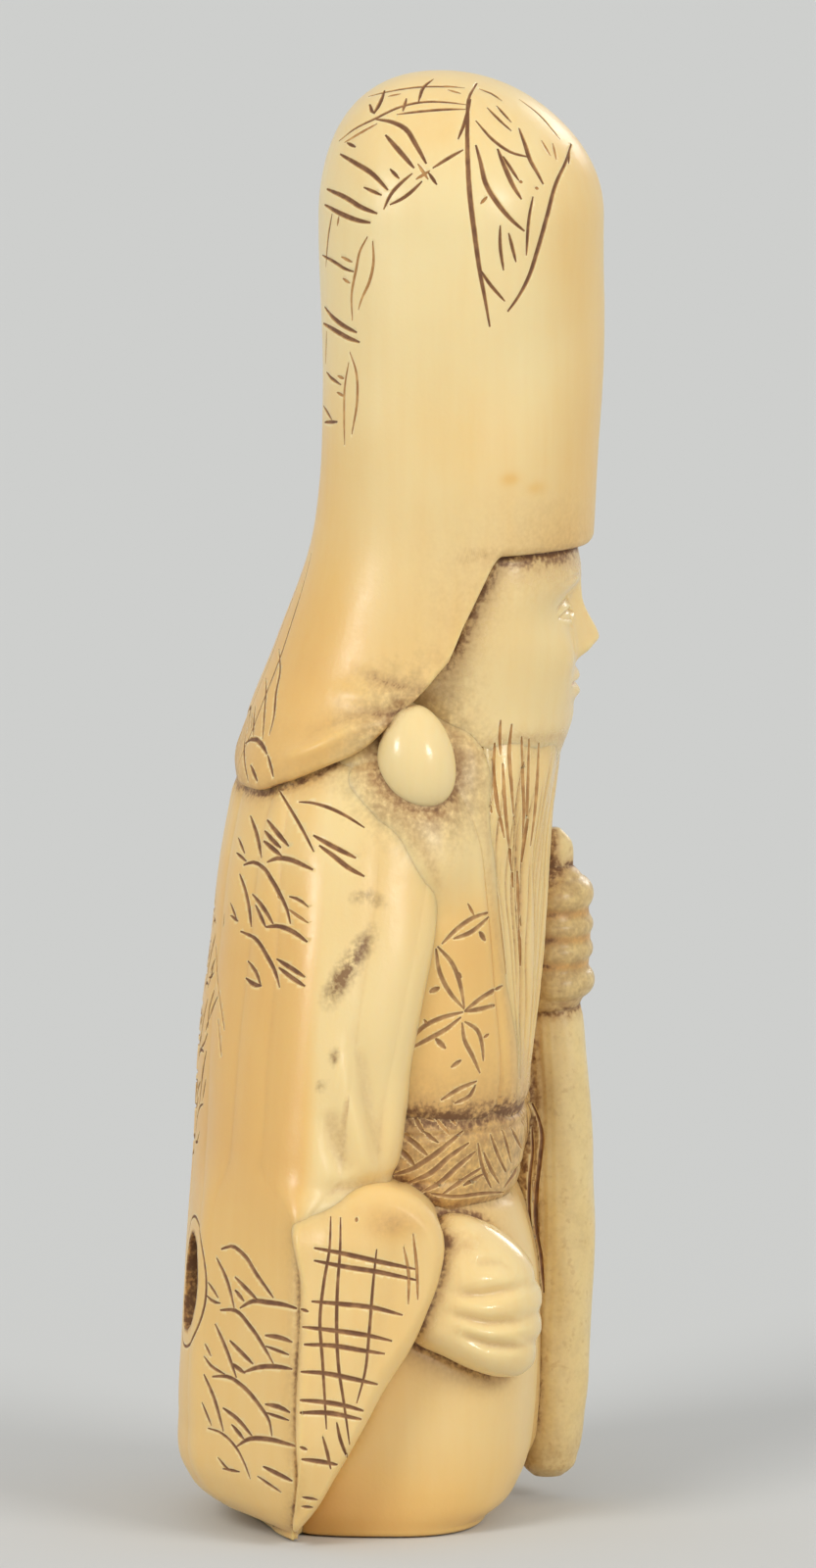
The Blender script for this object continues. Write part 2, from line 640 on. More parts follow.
def make_core(name, keys, rows, columns=420, front_power=2.4, relief=None):
    """Level outlines through the keys, moved along the normal by relief(x, y, z)."""
    levels = np.linspace(keys[0, 0], keys[-1, 0], rows)[:, None]
    turn = turns(columns, 0.3)[None]
    grid = round_form(levels, smooth(levels, keys[:, 0], keys[:, 1:]), turn, front_power, 3.0)
    if relief is not None:
        grid += outward(grid) * relief(*np.moveaxis(grid, -1, 0))[..., None]
    return add_shell(name, hand_worked(eased_ends(grid)))


def sash_relief(x, y, z):
    """A slow ripple round the band, and a shallow groove near its lower and its upper edge."""
    ripple = 0.05 * np.sin(1.1 * y + 0.7 * x) * bell(z - 18.4, 1.4)
    return ripple - 0.10 * bell(z - 19.55, 0.16) - 0.08 * bell(z - 17.25, 0.16)


def robe_relief(x, y, z):
    """A lapel edge that runs down the chest on each side, and a soft hollow beside it."""
    lapel = np.abs(x) - (5.6 + 0.055 * (z - 20.0))
    return 0.12 * step(-0.12, 0.12, lapel) - 0.10 * bell(lapel, 0.16)


chest = make_core("carved_chest", CHEST_KEYS, 150, front_power=2.5, relief=robe_relief)
sash = make_core("carved_sash", SASH_KEYS, 70, relief=sash_relief)
skirt = make_core("carved_skirt", SKIRT_KEYS, 150)
tell(chest, sash, skirt)

# %% [markdown]
# ## Coat
#
# The coat is one cut form: a convex back, a soft ridge down each side and nearly flat flanks.
# Its front edge is the line where the coat ends over the chest. Below the elbow the coat stands
# back and the hanging sleeve takes its place.

# %% Coat
COAT_KEYS = np.array([
    # level, half width, side y, ridge x, back y, front edge x, front edge y
    (0.45, 8.9, 4.45, 4.4, 6.6, 7.9, 4.35),
    (0.85, 9.7, 4.45, 4.7, 7.9, 8.4, 4.3),
    (1.5, 10.4, 4.4, 5.0, 9.0, 8.8, 4.1),
    (2.6, 11.0, 4.35, 5.3, 9.8, 9.0, 3.8),
    (5.5, 11.35, 4.35, 5.5, 10.1, 9.1, 3.4),
    (9.3, 11.45, 4.35, 5.5, 10.05, 9.0, 2.8),
    (14.0, 11.45, 4.3, 5.5, 9.68, 9.0, 1.6),
    (16.6, 11.45, 4.25, 5.5, 9.45, 9.1, 0.0),
    (17.8, 11.45, 4.2, 5.5, 9.35, 9.1, -0.35),
    (22.0, 11.2, 3.95, 5.45, 9.05, 9.0, -0.75),
    (25.8, 10.75, 3.6, 5.3, 8.75, 8.8, -1.4),
    (29.0, 10.35, 3.4, 5.2, 8.4, 8.35, -2.15),
    (31.5, 9.9, 3.25, 5.0, 8.1, 7.75, -2.55),
    (34.0, 9.1, 3.05, 4.7, 7.7, 6.9, -2.75),
    (36.3, 7.9, 2.6, 4.3, 7.25, 5.8, -2.4),
    (38.2, 6.7, 2.1, 3.8, 6.6, 4.7, -1.7),
])
COAT_FOLDS = [
    # amount, width, points (y, z): a hollow and a long ridge above the elbow, then the arm's roll
    (-0.30, 0.62, [(1.35, 24.4), (0.75, 21.6), (0.35, 19.4), (-0.05, 18.1)]),
    (0.34, 0.60, [(2.15, 24.2), (1.75, 21.6), (0.95, 19.0), (0.45, 17.9)]),
    (-0.24, 0.60, [(2.95, 21.4), (2.35, 19.4), (1.65, 18.1)]),
    (0.16, 0.50, [(-0.75, 22.6), (-0.50, 20.2), (-0.35, 18.4)]),
    (-0.20, 0.45, [(3.4, 17.35), (1.5, 17.5), (-0.2, 17.8), (-1.4, 17.6)]),
    (0.12, 0.9, [(-1.6, 32.0), (-1.0, 28.0), (-0.3, 24.0), (0.1, 20.0)]),
    (-0.10, 0.9, [(1.6, 33.0), (1.8, 29.0), (2.2, 26.5)]),
    (0.14, 0.9, [(2.2, 35.0), (0.8, 34.4), (-0.8, 33.2)]),
]


def make_coat(rows=200):
    """Polygons of eight corners, softened more above the elbow, then moved along the normal.

    That adds the folds on the flanks, and a low spine with a narrow groove in it.
    """
    levels = np.linspace(COAT_KEYS[0, 0], COAT_KEYS[-1, 0], rows)
    half, side, ridge, back, edge_x, edge = smooth(levels, COAT_KEYS[:, 0], COAT_KEYS[:, 1:]).T
    zero = np.zeros(rows)
    right = np.stack((
        np.stack((edge_x, edge), axis=1),
        np.stack((half, side), axis=1),
        np.stack((ridge, back - 0.75), axis=1),
    ), axis=1)
    left = right[:, ::-1] * (-1.0, 1.0)
    front = np.stack((zero, edge - 1.2), axis=1)[:, None]
    behind = np.stack((zero, back), axis=1)[:, None]
    corners = np.concatenate((front, right, behind, left), axis=1)
    upper = step(15.8, 18.6, levels)
    middle = zero[:, None] + 0.85
    sharp = np.stack((zero + 0.85, 0.60 + 2.3 * upper, 0.85 + 0.9 * upper), axis=1)
    reach = np.concatenate((middle, sharp, middle, sharp[:, ::-1]), axis=1)[..., None]
    grid = cut_outlines(levels, corners, reach, arc=16, edge=32, bulge=0.16)
    x, y, z = np.moveaxis(grid, -1, 0)
    relief = drawn(y, z, COAT_FOLDS) * step(5.0, 7.5, np.abs(x)) * step(4.6, 3.6, y)
    spine = 0.10 * bell(x, 1.6) * step(12.0, 20.0, z)
    groove = -0.12 * bell(x - 0.4 * np.sin(0.2 * z), 0.35) * step(30.0, 20.0, z)
    grid += outward(grid) * (relief + (spine + groove) * step(6.0, 7.0, y))[..., None]
    return add_shell("carved_coat", hand_worked(eased_ends(grid, 0.35, 0.5)))


coat = make_coat()
tell(coat)

# %% [markdown]
# ## Cord holes
#
# A netsuke hangs from a cord that runs through its back. The two oval mouths are the ends of one
# half ring bored into the ivory, so the cutter is a torus whose middle lies on the back.

# %% Cord tunnel
def cut_cord_tunnel(piece, columns=96, rows=48):
    """Torus: a + b cos v out from the middle of the back, and c sin v up from the level.

    a is the distance of a hole from the middle, b and c half its width and height.
    """
    u = np.linspace(0.0, 2 * math.pi, columns, endpoint=False)[:, None]
    v = np.linspace(0.0, 2 * math.pi, rows, endpoint=False)[None]
    reach = HOLE_X + HOLE_HALF_WIDTH * np.cos(v)
    level = HOLE_LEVEL + HOLE_HALF_HEIGHT * np.sin(v) + 0 * u
    place = np.stack((reach * np.cos(u), HOLE_Y + reach * np.sin(u), level), axis=-1)
    index = np.arange(columns * rows).reshape(columns, rows)
    ahead, beside = np.roll(index, -1, axis=0), np.roll(index, -1, axis=1)
    faces = np.stack((index, ahead, np.roll(ahead, -1, axis=1), beside), axis=-1).reshape(-1, 4)
    cutter = add_mesh("cord_tunnel_cutter", place.reshape(-1, 3), faces.tolist())
    carve(piece, cutter)


def applied(piece):
    """The piece with its modifiers made real."""
    evaluated = piece.evaluated_get(bpy.context.evaluated_depsgraph_get())
    mesh = bpy.data.meshes.new_from_object(evaluated)
    old = piece.data
    piece.modifiers.clear()
    piece.data = mesh
    bpy.data.meshes.remove(old)
    mesh.name = piece.name
    return piece


def carve(piece, cutter):
    """Take the cutter's volume out of the piece, keeping the cutter's material on the cut."""
    cut = piece.modifiers.new("cut", "BOOLEAN")
    cut.operation = "DIFFERENCE"
    cut.solver = "MANIFOLD"
    cut.material_mode = "TRANSFER"
    cut.object = cutter
    applied(piece)
    bpy.data.objects.remove(cutter, do_unlink=True)


cut_cord_tunnel(coat)
tell(coat)

# %% [markdown]
# ## Sleeves
#
# Each sleeve is a flat bag that hangs to a point near the ground. Seen from the side it has one
# outline, and its rim is round all the way, so it is built as a pillow from that outline.

# %% Right and left sleeve
RIGHT_SLEEVE = [
    # y and z round the outline
    (4.28, 0.72), (4.42, 4.0), (4.42, 9.0), (4.35, 13.0), (4.25, 16.6), (2.2, 17.3), (0.1, 17.6),
    (-1.3, 17.1), (-2.3, 16.1), (-2.75, 14.9), (-2.6, 13.0), (-2.0, 11.4), (-1.1, 9.6),
    (0.1, 7.8), (1.3, 5.6), (2.5, 3.4), (3.5, 1.6),
]
LEFT_SLEEVE = [
    (4.30, 0.75), (4.42, 4.0), (4.42, 9.0), (4.35, 14.0), (4.1, 19.0), (3.4, 25.0), (1.5, 29.6),
    (-1.5, 31.0), (-4.4, 30.5), (-6.1, 28.8), (-6.5, 26.2), (-6.1, 22.5), (-5.2, 17.0),
    (-3.6, 11.6), (-1.2, 6.6), (1.6, 3.0), (3.6, 1.2),
]


def right_face(y, z):
    """x of the right sleeve's outer face: flat, leaning in towards the front and the foot."""
    foot = 1.45 * step(6.5, 0.0, z) ** 1.3
    shoulder = 0.25 * step(15.5, 17.6, z) + 0.50 * step(14.6, 17.2, z) * step(-0.6, 2.6, y)
    return -(SLEEVE_X - 0.215 * (SLEEVE_BACK - y) - foot - shoulder)


def left_face(y, z):
    """x of the left sleeve's outer face, which turns in towards the staff."""
    foot = 1.25 * step(6.5, 0.0, z) ** 1.3
    top = 1.7 * step(19.0, 31.0, z)
    forward = SLEEVE_BACK - y
    return SLEEVE_X - 0.20 * forward - 0.020 * forward**2 - foot - top


def sleeve_relief(y, z):
    """Slow folds that fall from the crease at the elbow towards the point of the bag."""
    return drawn(y, z, [
        (-0.10, 0.55, [(2.9, 16.8), (2.9, 11.0), (3.2, 5.0)]),
        (0.10, 0.80, [(1.2, 16.6), (1.5, 11.0), (2.6, 4.5)]),
        (-0.08, 0.60, [(-0.4, 16.4), (0.0, 12.0), (1.2, 7.5)]),
    ])


def left_relief(y, z):
    """The same folds, and the deeper ones of a raised arm."""
    return sleeve_relief(y, z) + drawn(y, z, [
        (-0.30, 0.45, [(-5.6, 24.5), (-3.0, 21.5), (-0.4, 20.4), (2.4, 21.0)]),
        (-0.26, 0.40, [(-5.4, 21.5), (-3.0, 18.4), (-0.6, 17.0), (2.2, 17.2)]),
        (0.26, 0.70, [(-5.5, 23.0), (-3.0, 20.0), (-0.5, 18.7), (2.4, 19.0)]),
        (-0.24, 0.40, [(-4.9, 17.2), (-2.8, 13.4), (-0.6, 11.2)]),
        (0.20, 0.60, [(-4.4, 27.6), (-1.6, 26.0), (1.4, 25.8)]),
    ])


right_sleeve = pillow("carved_right_sleeve", RIGHT_SLEEVE[::-1], right_face, sleeve_relief, 4.6)
left_sleeve = pillow(
    "carved_left_sleeve", LEFT_SLEEVE[::-1], left_face, left_relief, 5.4, columns=460,
)
tell(right_sleeve, left_sleeve)

# %% [markdown]
# ## Staff
#
# A plain rough stick: a circle carried along a slightly bowed line, thinner where the fist holds
# it, with shallow knots. Behind it a thin wall of ivory was left standing, which ties the staff
# to the robe from the foot to the beard.

# %% Staff
def staff_centre(z):
    """Centre line of the staff: y is its foot's less lean * share and bow * sin(1.25 pi share).

    share runs from 0 at the foot to 1 at the top, and the bow ends at a share of 0.8.
    """
    share = np.clip((np.asarray(z, float) - STAFF_FOOT) / STAFF_LENGTH, 0.0, 1.0)
    bow = STAFF_BOW * np.sin(math.pi * np.minimum(1.25 * share, 1.0))
    y = STAFF_Y - STAFF_LEAN * share - bow
    return np.stack((np.full(np.shape(y), STAFF_X), y), axis=-1)


def wrapped(angle):
    """The same angle between -pi and pi."""
    return np.mod(angle + math.pi, 2 * math.pi) - math.pi


def make_staff(columns=120, rows=420):
    """Circles round the centre line: radius, plus knots, the grooved wall behind, rough waves."""
    body = np.linspace(0.012, 0.985, rows)
    share = np.concatenate(((0.0, 0.002, 0.006), body, (0.992, 0.997, 1.0)))
    keys = (0.0, 0.01, 0.035, 0.12, 0.25, 0.40, 0.55, 0.68, 0.76, 0.84, 0.92, 0.955, 0.985, 1.0)
    radii = (0.70, 1.10, 1.36, 1.50, 1.53, 1.50, 1.44, 1.34, 1.20, 1.08, 1.04, 1.04, 0.84, 0.38)
    radius = smooth(share, keys, radii)[:, None]
    levels = (STAFF_FOOT + STAFF_LENGTH * share)[:, None]
    turn = turns(columns)[None]
    knots = sum(
        amount * bell(levels - level, 1.6) * bell(wrapped(turn - around), 0.9)
        for level, around, amount in ((5.4, 3.9, 0.10), (13.8, 4.6, 0.08), (20.6, 4.0, 0.08))
    )
    rough = 0.022 * np.sin(5 * turn + 0.9 * levels) + 0.022 * np.sin(3 * turn - 1.1 * levels + 1.0)
    behind = wrapped(turn - 0.5 * math.pi)
    tall = step(2.2, 3.6, levels) * step(24.8, 22.6, levels)
    root = (0.85 + 0.45 * step(13.0, 17.0, levels)) * bell(behind, 0.50) * tall
    grooves = 0.05 * np.sin(22.0 * turn + 0.4 * np.sin(0.9 * levels)) * bell(behind, 0.9) * tall
    reach = radius + knots + root + grooves + rough * step(0.0, 0.05, share)[:, None]
    centre = staff_centre(levels[:, 0])
    grid = np.stack((
        centre[:, :1] + reach * np.cos(turn),
        centre[:, 1:] + reach * np.sin(turn),
        np.broadcast_to(levels, reach.shape),
    ), axis=-1)
    return add_shell("carved_staff", grid)


staff = make_staff()
tell(staff)

# %% [markdown]
# ## Hands
#
# A carved fist is a rounded block that the fingers share. For the left one, tubes and eggs give
# the parts, a voxel remesh fuses them into one skin, and a few smoothing rounds leave the soft
# valleys of a tool. The right one lies flat against the robe, so it is a pillow like a sleeve.

# %% Parts of a hand
def sweep(points, radii, columns=28, rows=40):
    """A round bar: centre c(t) + r(t) (cos u n + sin u b), with n and b square to the path.

    Six more rings, of radius r cos a and r sin a further out, close each end as a half ball.
    """
    keys = np.linspace(0.0, 1.0, len(points))
    t = np.linspace(0.0, 1.0, rows)
    centre = smooth(t, keys, np.asarray(points, float))
    radius = smooth(t, keys, np.asarray(radii, float))[:, None]
    ahead = np.gradient(centre, axis=0)
    ahead /= np.linalg.norm(ahead, axis=1, keepdims=True)
    side = np.cross(ahead, (0.0, 0.12, 1.0))
    side /= np.linalg.norm(side, axis=1, keepdims=True)
    up = np.cross(side, ahead)
    end = 0.5 * math.pi * np.linspace(1.0, 0.0, 7)[:, None]
    first = (centre[0] - ahead[0] * radius[0] * np.sin(end), radius[0] * np.cos(end))
    last = (centre[-1] + ahead[-1] * radius[-1] * np.sin(end[::-1]), radius[-1] * np.cos(end[::-1]))
    centre = np.vstack((first[0][:-1], centre, last[0][1:]))
    radius = np.maximum(np.vstack((first[1][:-1], radius, last[1][1:])), 0.02)
    side = np.vstack((np.repeat(side[:1], 6, 0), side, np.repeat(side[-1:], 6, 0)))
    up = np.vstack((np.repeat(up[:1], 6, 0), up, np.repeat(up[-1:], 6, 0)))
    u = turns(columns)[None, :, None]
    return centre[:, None] + radius[:, None] * (np.cos(u) * side[:, None] - np.sin(u) * up[:, None])


def egg(centre, halves, tilt, columns=40, rows=26):
    """An ellipsoid (a sin v cos u, b sin v sin u, -c cos v), turned about its centre."""
    u, v = turns(columns)[None], np.linspace(0.03, math.pi - 0.03, rows)[:, None]
    ball = np.stack((np.sin(v) * np.cos(u), np.sin(v) * np.sin(u), -np.cos(v) + 0 * u), axis=-1)
    return ball * halves @ np.array(Euler(tilt).to_matrix()).T + centre


def face_outwards(bm, mesh):
    """Turn the faces of a bmesh outwards, write them to the mesh and free the bmesh."""
    bmesh.ops.recalc_face_normals(bm, faces=bm.faces)
    bm.to_mesh(mesh)
    bm.free()


def fused(name, grids, voxel, rounds):
    """One skin over all grids: joined, voxel remeshed and smoothed."""
    bm = bmesh.new()
    for number, grid in enumerate(grids):
        part = add_shell("%s_part_%d" % (name, number), grid)
        bm.from_mesh(part.data)
        bpy.data.objects.remove(part, do_unlink=True)
    mesh = bpy.data.meshes.new(name)
    face_outwards(bm, mesh)
    piece = bpy.data.objects.new(name, mesh)
    bpy.context.scene.collection.objects.link(piece)
    remesh = piece.modifiers.new("skin", "REMESH")
    remesh.mode = "VOXEL"
    remesh.voxel_size = voxel * MM
    remesh.use_smooth_shade = True
    soften = piece.modifiers.new("soften", "SMOOTH")
    soften.factor = 0.5
    soften.iterations = rounds
    return applied(piece)


print("hand tools ready")

# %% Left hand, closed round the staff
def make_left_hand():
    """Four fingers curl round the staff from its outer side, with the thumb over the top one."""
    levels, thick = (29.62, 28.15, 26.95, 25.40), (0.92, 0.56, 0.56, 0.84)
    grids = []
    for level, radius in zip(levels, thick):
        centre_x, centre_y = staff_centre(level)
        reach = 2.02 - radius
        curl = np.radians(np.linspace(40.0, -212.0, 12))
        swell = np.array((1.25, 1.2, 1.12, 1.05, 1.0, 1.04, 1.0, 1.0, 1.02, 1.0, 0.95, 0.72))
        droop = np.linspace(0.16, -0.16, 12)
        points = np.stack((
            centre_x + reach * np.cos(curl) + 0.02, centre_y + reach * np.sin(curl), level + droop,
        ), axis=1)
        grids.append(sweep(points, radius * swell))
    x, y = staff_centre(27.4)
    core = [(x, y, level) for level in (24.9, 26.6, 28.4, 29.9)]
    grids.append(sweep(core, (1.62, 1.84, 1.86, 1.60), rows=20))
    grids.append(egg((x + 1.6, y + 1.4, 27.3), (1.6, 2.3, 3.2), (0.1, 0.0, -0.5)))
    grids.append(egg((x + 2.0, y + 3.0, 26.8), (2.1, 2.6, 2.9), (0.0, 0.0, -0.3)))
    thumb = [
        (x + 1.5, y + 1.4, 29.7), (x + 0.8, y + 0.2, 30.4),
        (x - 0.1, y - 0.6, 30.5), (x - 1.0, y - 0.5, 30.2),
    ]
    grids.append(sweep(thumb, (0.9, 0.80, 0.72, 0.55)))
    return fused("carved_left_hand", grids, voxel=0.10, rounds=2)


left_hand = make_left_hand()
tell(left_hand)

# %% Right hand, closed below the sleeve's mouth
FIST_OUTLINE = [
    (-0.3, 12.6), (-0.9, 14.4), (-2.3, 15.6), (-3.6, 15.7), (-4.8, 15.25), (-5.9, 14.5),
    (-6.75, 13.6), (-7.12, 12.9), (-7.20, 12.35), (-7.42, 11.9), (-7.48, 11.35), (-7.34, 10.85),
    (-7.44, 10.4), (-7.40, 9.85), (-7.16, 9.45), (-7.20, 9.0), (-7.06, 8.35), (-6.5, 7.9),
    (-5.4, 7.85), (-4.1, 8.25), (-2.7, 8.95), (-1.3, 9.7), (-0.5, 10.9),
]
FIST_VALLEYS = [
    (-0.20, 0.30, [(-4.3, 13.75), (-5.5, 13.55), (-6.3, 13.05)]),
    (-0.26, 0.30, [(-3.2, 12.3), (-4.6, 12.15), (-6.0, 12.35), (-7.1, 12.6)]),
    (-0.26, 0.30, [(-3.0, 11.3), (-4.6, 10.85), (-6.0, 10.75), (-7.3, 10.8)]),
    (-0.24, 0.28, [(-3.4, 10.3), (-4.8, 9.75), (-6.2, 9.5), (-7.1, 9.45)]),
    (0.20, 0.55, [(-3.2, 11.8), (-5.0, 11.5), (-6.8, 11.7)]),
    (0.18, 0.50, [(-3.4, 10.8), (-5.0, 10.3), (-6.8, 10.1)]),
    (0.18, 0.60, [(-3.4, 13.0), (-5.0, 12.95), (-6.4, 12.9)]),
    (-0.22, 0.45, [(-1.6, 14.2), (-3.2, 14.35), (-4.4, 14.6)]),
]


def fist_face(y, z):
    """x of the outer face: -(9.55 - 0.115 f^2 - 0.045 (z - 11.3)^2), f from y = -3.4 on."""
    forward = np.maximum(-3.4 - y, 0.0)
    return -(9.55 - 0.115 * forward**2 - 0.045 * (z - 11.3) ** 2)


def make_right_hand():
    """A closed hand: one rounded block, notched where the four fingers meet at its front."""
    return pillow(
        "carved_right_hand", FIST_OUTLINE[::-1], fist_face,
        lambda y, z: drawn(y, z, FIST_VALLEYS), 3.7, rim=1.5, columns=400, rows=96,
    )


right_hand = make_right_hand()
tell(right_hand)

# %% [markdown]
# ## Ivory as a material
#
# Polished ivory is pale and a little translucent, honey-coloured where it was handled less or
# where light has aged it, and it keeps brown stain in every low place. Shader maths is written
# as Python expressions: `Value` wraps a socket so that `1 - mask * 0.5` builds its Math nodes.

# %% Shader expressions
class Value:
    """A shader socket that can be added, subtracted and multiplied, from either side."""

    def __init__(self, paint, socket):
        self.paint, self.socket = paint, socket

    def maths(self, operation, first, second):
        """One Math node."""
        return self.paint.node("ShaderNodeMath", {"operation": operation}, first, second)

    def __add__(self, other):
        return self.maths("ADD", self, other)

    def __sub__(self, other):
        return self.maths("SUBTRACT", self, other)

    def __rsub__(self, other):
        return self.maths("SUBTRACT", other, self)

    def __mul__(self, other):
        return self.maths("MULTIPLY", self, other)

    __radd__, __rmul__ = __add__, __mul__


class Paint:
    """Builds the nodes of one material."""

    def __init__(self, name):
        self.material = bpy.data.materials.new(name)
        self.material.use_nodes = True
        self.tree = self.material.node_tree
        self.shader = self.tree.nodes["Principled BSDF"]

    def node(self, kind, settings, *inputs, output=0, **named):
        """One node: settings first, then socket values or links by place or by name."""
        made = self.tree.nodes.new(kind)
        for key, value in settings.items():
            setattr(made, key, value)
        for key, value in [*enumerate(inputs), *named.items()]:
            self.feed(made.inputs[key], value)
        return Value(self, made.outputs[output])

    def feed(self, socket, value):
        """Link a Value to a socket, or write a plain value on it."""
        if isinstance(value, Value):
            self.tree.links.new(value.socket, socket)
        else:
            socket.default_value = value

    def complete(self, looks):
        """Feed the shader's own sockets by name, and return the material."""
        for name, value in looks.items():
            self.feed(self.shader.inputs[name], value)
        return self.material

    def attribute(self, name):
        """The number of that name at every vertex."""
        return self.node("ShaderNodeAttribute", {"attribute_name": name}, output="Fac")

    def times(self, place, factors):
        """A place with each axis times its factor."""
        return self.node("ShaderNodeVectorMath", {"operation": "MULTIPLY"}, place, factors)

    def millimetres(self):
        """Object coordinates in millimetres."""
        return self.times(self.node("ShaderNodeTexCoord", {}, output="Object"), (1 / MM,) * 3)

    def noise(self, place, scale, detail=2.0):
        """Noise between about 0.3 and 0.7, `scale` waves to the millimetre."""
        return self.node(
            "ShaderNodeTexNoise", {}, Vector=place, Scale=scale, Detail=detail, output="Fac",
        )

    def blend(self, share, first, second):
        """A colour between first, at 0, and second, at 1."""
        made = self.tree.nodes.new("ShaderNodeMix")
        made.data_type = "RGBA"
        for place, value in ((0, share), (6, first), (7, second)):
            self.feed(made.inputs[place], value)
        return Value(self, made.outputs[2])

    def clamp(self, value):
        """The value kept between 0 and 1."""
        return self.node("ShaderNodeClamp", {}, value, 0.0, 1.0)


print("shader tools ready")

# %% Colours, written as the eye sees them
def linear(value):
    """Linear share of a screen value v of 255: ((v + 0.055) / 1.055)^2.4, or v / 12.92 if dark."""
    v = value / 255
    return v / 12.92 if v <= 0.04045 else ((v + 0.055) / 1.055) ** 2.4


def seen(red, green, blue):
    """A shader colour from the 0 to 255 values of a screen."""
    return (linear(red), linear(green), linear(blue), 1.0)


PALE = seen(241, 220, 165)
SAND = seen(239, 213, 153)
HONEY = seen(235, 194, 119)
AMBER = seen(225, 171, 92)
TAN = seen(188, 146, 92)
STAIN = seen(128, 90, 56)
GREY = seen(146, 110, 68)


def ivory(name, pale, warm, roughness, dirt=0.0):
    """Ivory from pale to warm to amber, with grain along the tusk and stain in low places.

    The attribute tone warms the colour, stain browns it and grime greys it. Noise breaks the
    edges of both, as wiped stain has them. With dirt, spots of stain lie anywhere.
    """
    paint = Paint(name)
    place = paint.millimetres()
    slow = paint.noise(place, 0.11)
    grain = paint.noise(paint.times(place, (1.3, 1.3, 0.13)), 1.1, 3.0)
    mottle = paint.noise(place, 1.5, 3.0)
    speck = paint.noise(place, 4.6, 3.0)
    tone = paint.attribute("tone") + (slow - 0.5) * 0.9 + (grain - 0.5) * 0.35
    colour = paint.blend(paint.clamp(tone), pale, warm)
    colour = paint.blend(paint.clamp(tone - 1.0), colour, AMBER)
    broken = (mottle - 0.5) * 1.5 + (speck - 0.5) * 1.9 + 1.0
    patchy = (mottle - 0.5) * 3.2 + (speck - 0.5) * 2.4 + 1.0
    grime = paint.clamp(paint.attribute("grime") * patchy * 1.25 - 0.06)
    colour = paint.blend(grime, colour, GREY)
    low_place = paint.attribute("stain") * broken
    if dirt:
        low_place = low_place + paint.clamp((paint.noise(place, 2.3, 4.0) - 0.60) * 9.0) * dirt
    colour = paint.blend(paint.clamp(low_place * 1.15), colour, TAN)
    colour = paint.blend(paint.clamp(low_place * 2.1 - 1.05), colour, STAIN)
    bump = paint.node(
        "ShaderNodeBump", {}, Strength=0.25, Distance=0.03 * MM,
        Height=grain + paint.noise(place, 5.0),
    )
    return paint.complete({
        "Base Color": colour,
        "Roughness": paint.clamp(low_place * 0.3 + roughness + (mottle - 0.5) * 0.15),
        "Normal": bump,
        "Subsurface Weight": 0.6,
        "Subsurface Radius": (1.0, 0.86, 0.70),
        "Subsurface Scale": 0.7 * MM,
        "IOR": 1.54,
    })


def ink(name, dark, worn):
    """The stain that fills an engraved line, a little rough, lighter where it has worn."""
    paint = Paint(name)
    wear = paint.clamp((paint.noise(paint.millimetres(), 1.9, 3.0) - 0.42) * 3.2)
    return paint.complete({"Base Color": paint.blend(wear, dark, worn), "Roughness": 0.6})


INKS = [
    ink("engraved_line", seen(118, 78, 48), seen(158, 114, 72)),
    ink("faint_line", seen(176, 128, 74), seen(214, 168, 104)),
    ink("line_edge", seen(186, 142, 86), seen(220, 178, 112)),
    ink("worn_line", seen(148, 108, 66), seen(190, 148, 94)),
]
SKINS = {name: ivory(name, *look) for name, look in {
    # slot: pale colour, warm colour, roughness, dirt
    "ivory_hood": (PALE, HONEY, 0.34),
    "ivory_skin": (PALE, HONEY, 0.21),
    "ivory_robe": (SAND, HONEY, 0.33),
    "ivory_coat": (SAND, HONEY, 0.33),
    "ivory_staff": (seen(236, 214, 157), seen(222, 191, 125), 0.34, 0.22),
}.items()}
print("materials:", ", ".join(SKINS))

# %% [markdown]
# ## What each piece stands for
#
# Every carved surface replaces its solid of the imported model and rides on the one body. The
# slot is the finish that the record names for that solid.

# %% Pieces, nodes and slots
SLOTS = {
    "hood": (hood, "ivory_hood"),
    "head": (head, "ivory_skin"),
    "right_ear_lobe": (right_lobe, "ivory_skin"),
    "left_ear_lobe": (left_lobe, "ivory_skin"),
    "beard": (beard, "ivory_skin"),
    "chest": (chest, "ivory_robe"),
    "sash": (sash, "ivory_robe"),
    "skirt": (skirt, "ivory_robe"),
    "coat": (coat, "ivory_coat"),
    "right_sleeve": (right_sleeve, "ivory_coat"),
    "left_sleeve": (left_sleeve, "ivory_coat"),
    "staff": (staff, "ivory_staff"),
    "left_hand": (left_hand, "ivory_staff"),
    "right_hand": (right_hand, "ivory_skin"),
}
BY_NODE = {node: piece for node, (piece, _) in SLOTS.items()}
for node, (piece, slot) in SLOTS.items():
    piece.data.materials.clear()
    piece.data.materials.append(SKINS[slot])
    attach(piece, "root")
    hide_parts(node)
print("pieces:", len(SLOTS))

# %% [markdown]
# ## Where forms meet
#
# Where one form ends at another, the carver cut a groove or left a soft root, and the stain that
# went on last stayed there. Geometry nodes measure how far each point of a surface is from each
# neighbour. From that distance come the groove or root and the brown of the seam.

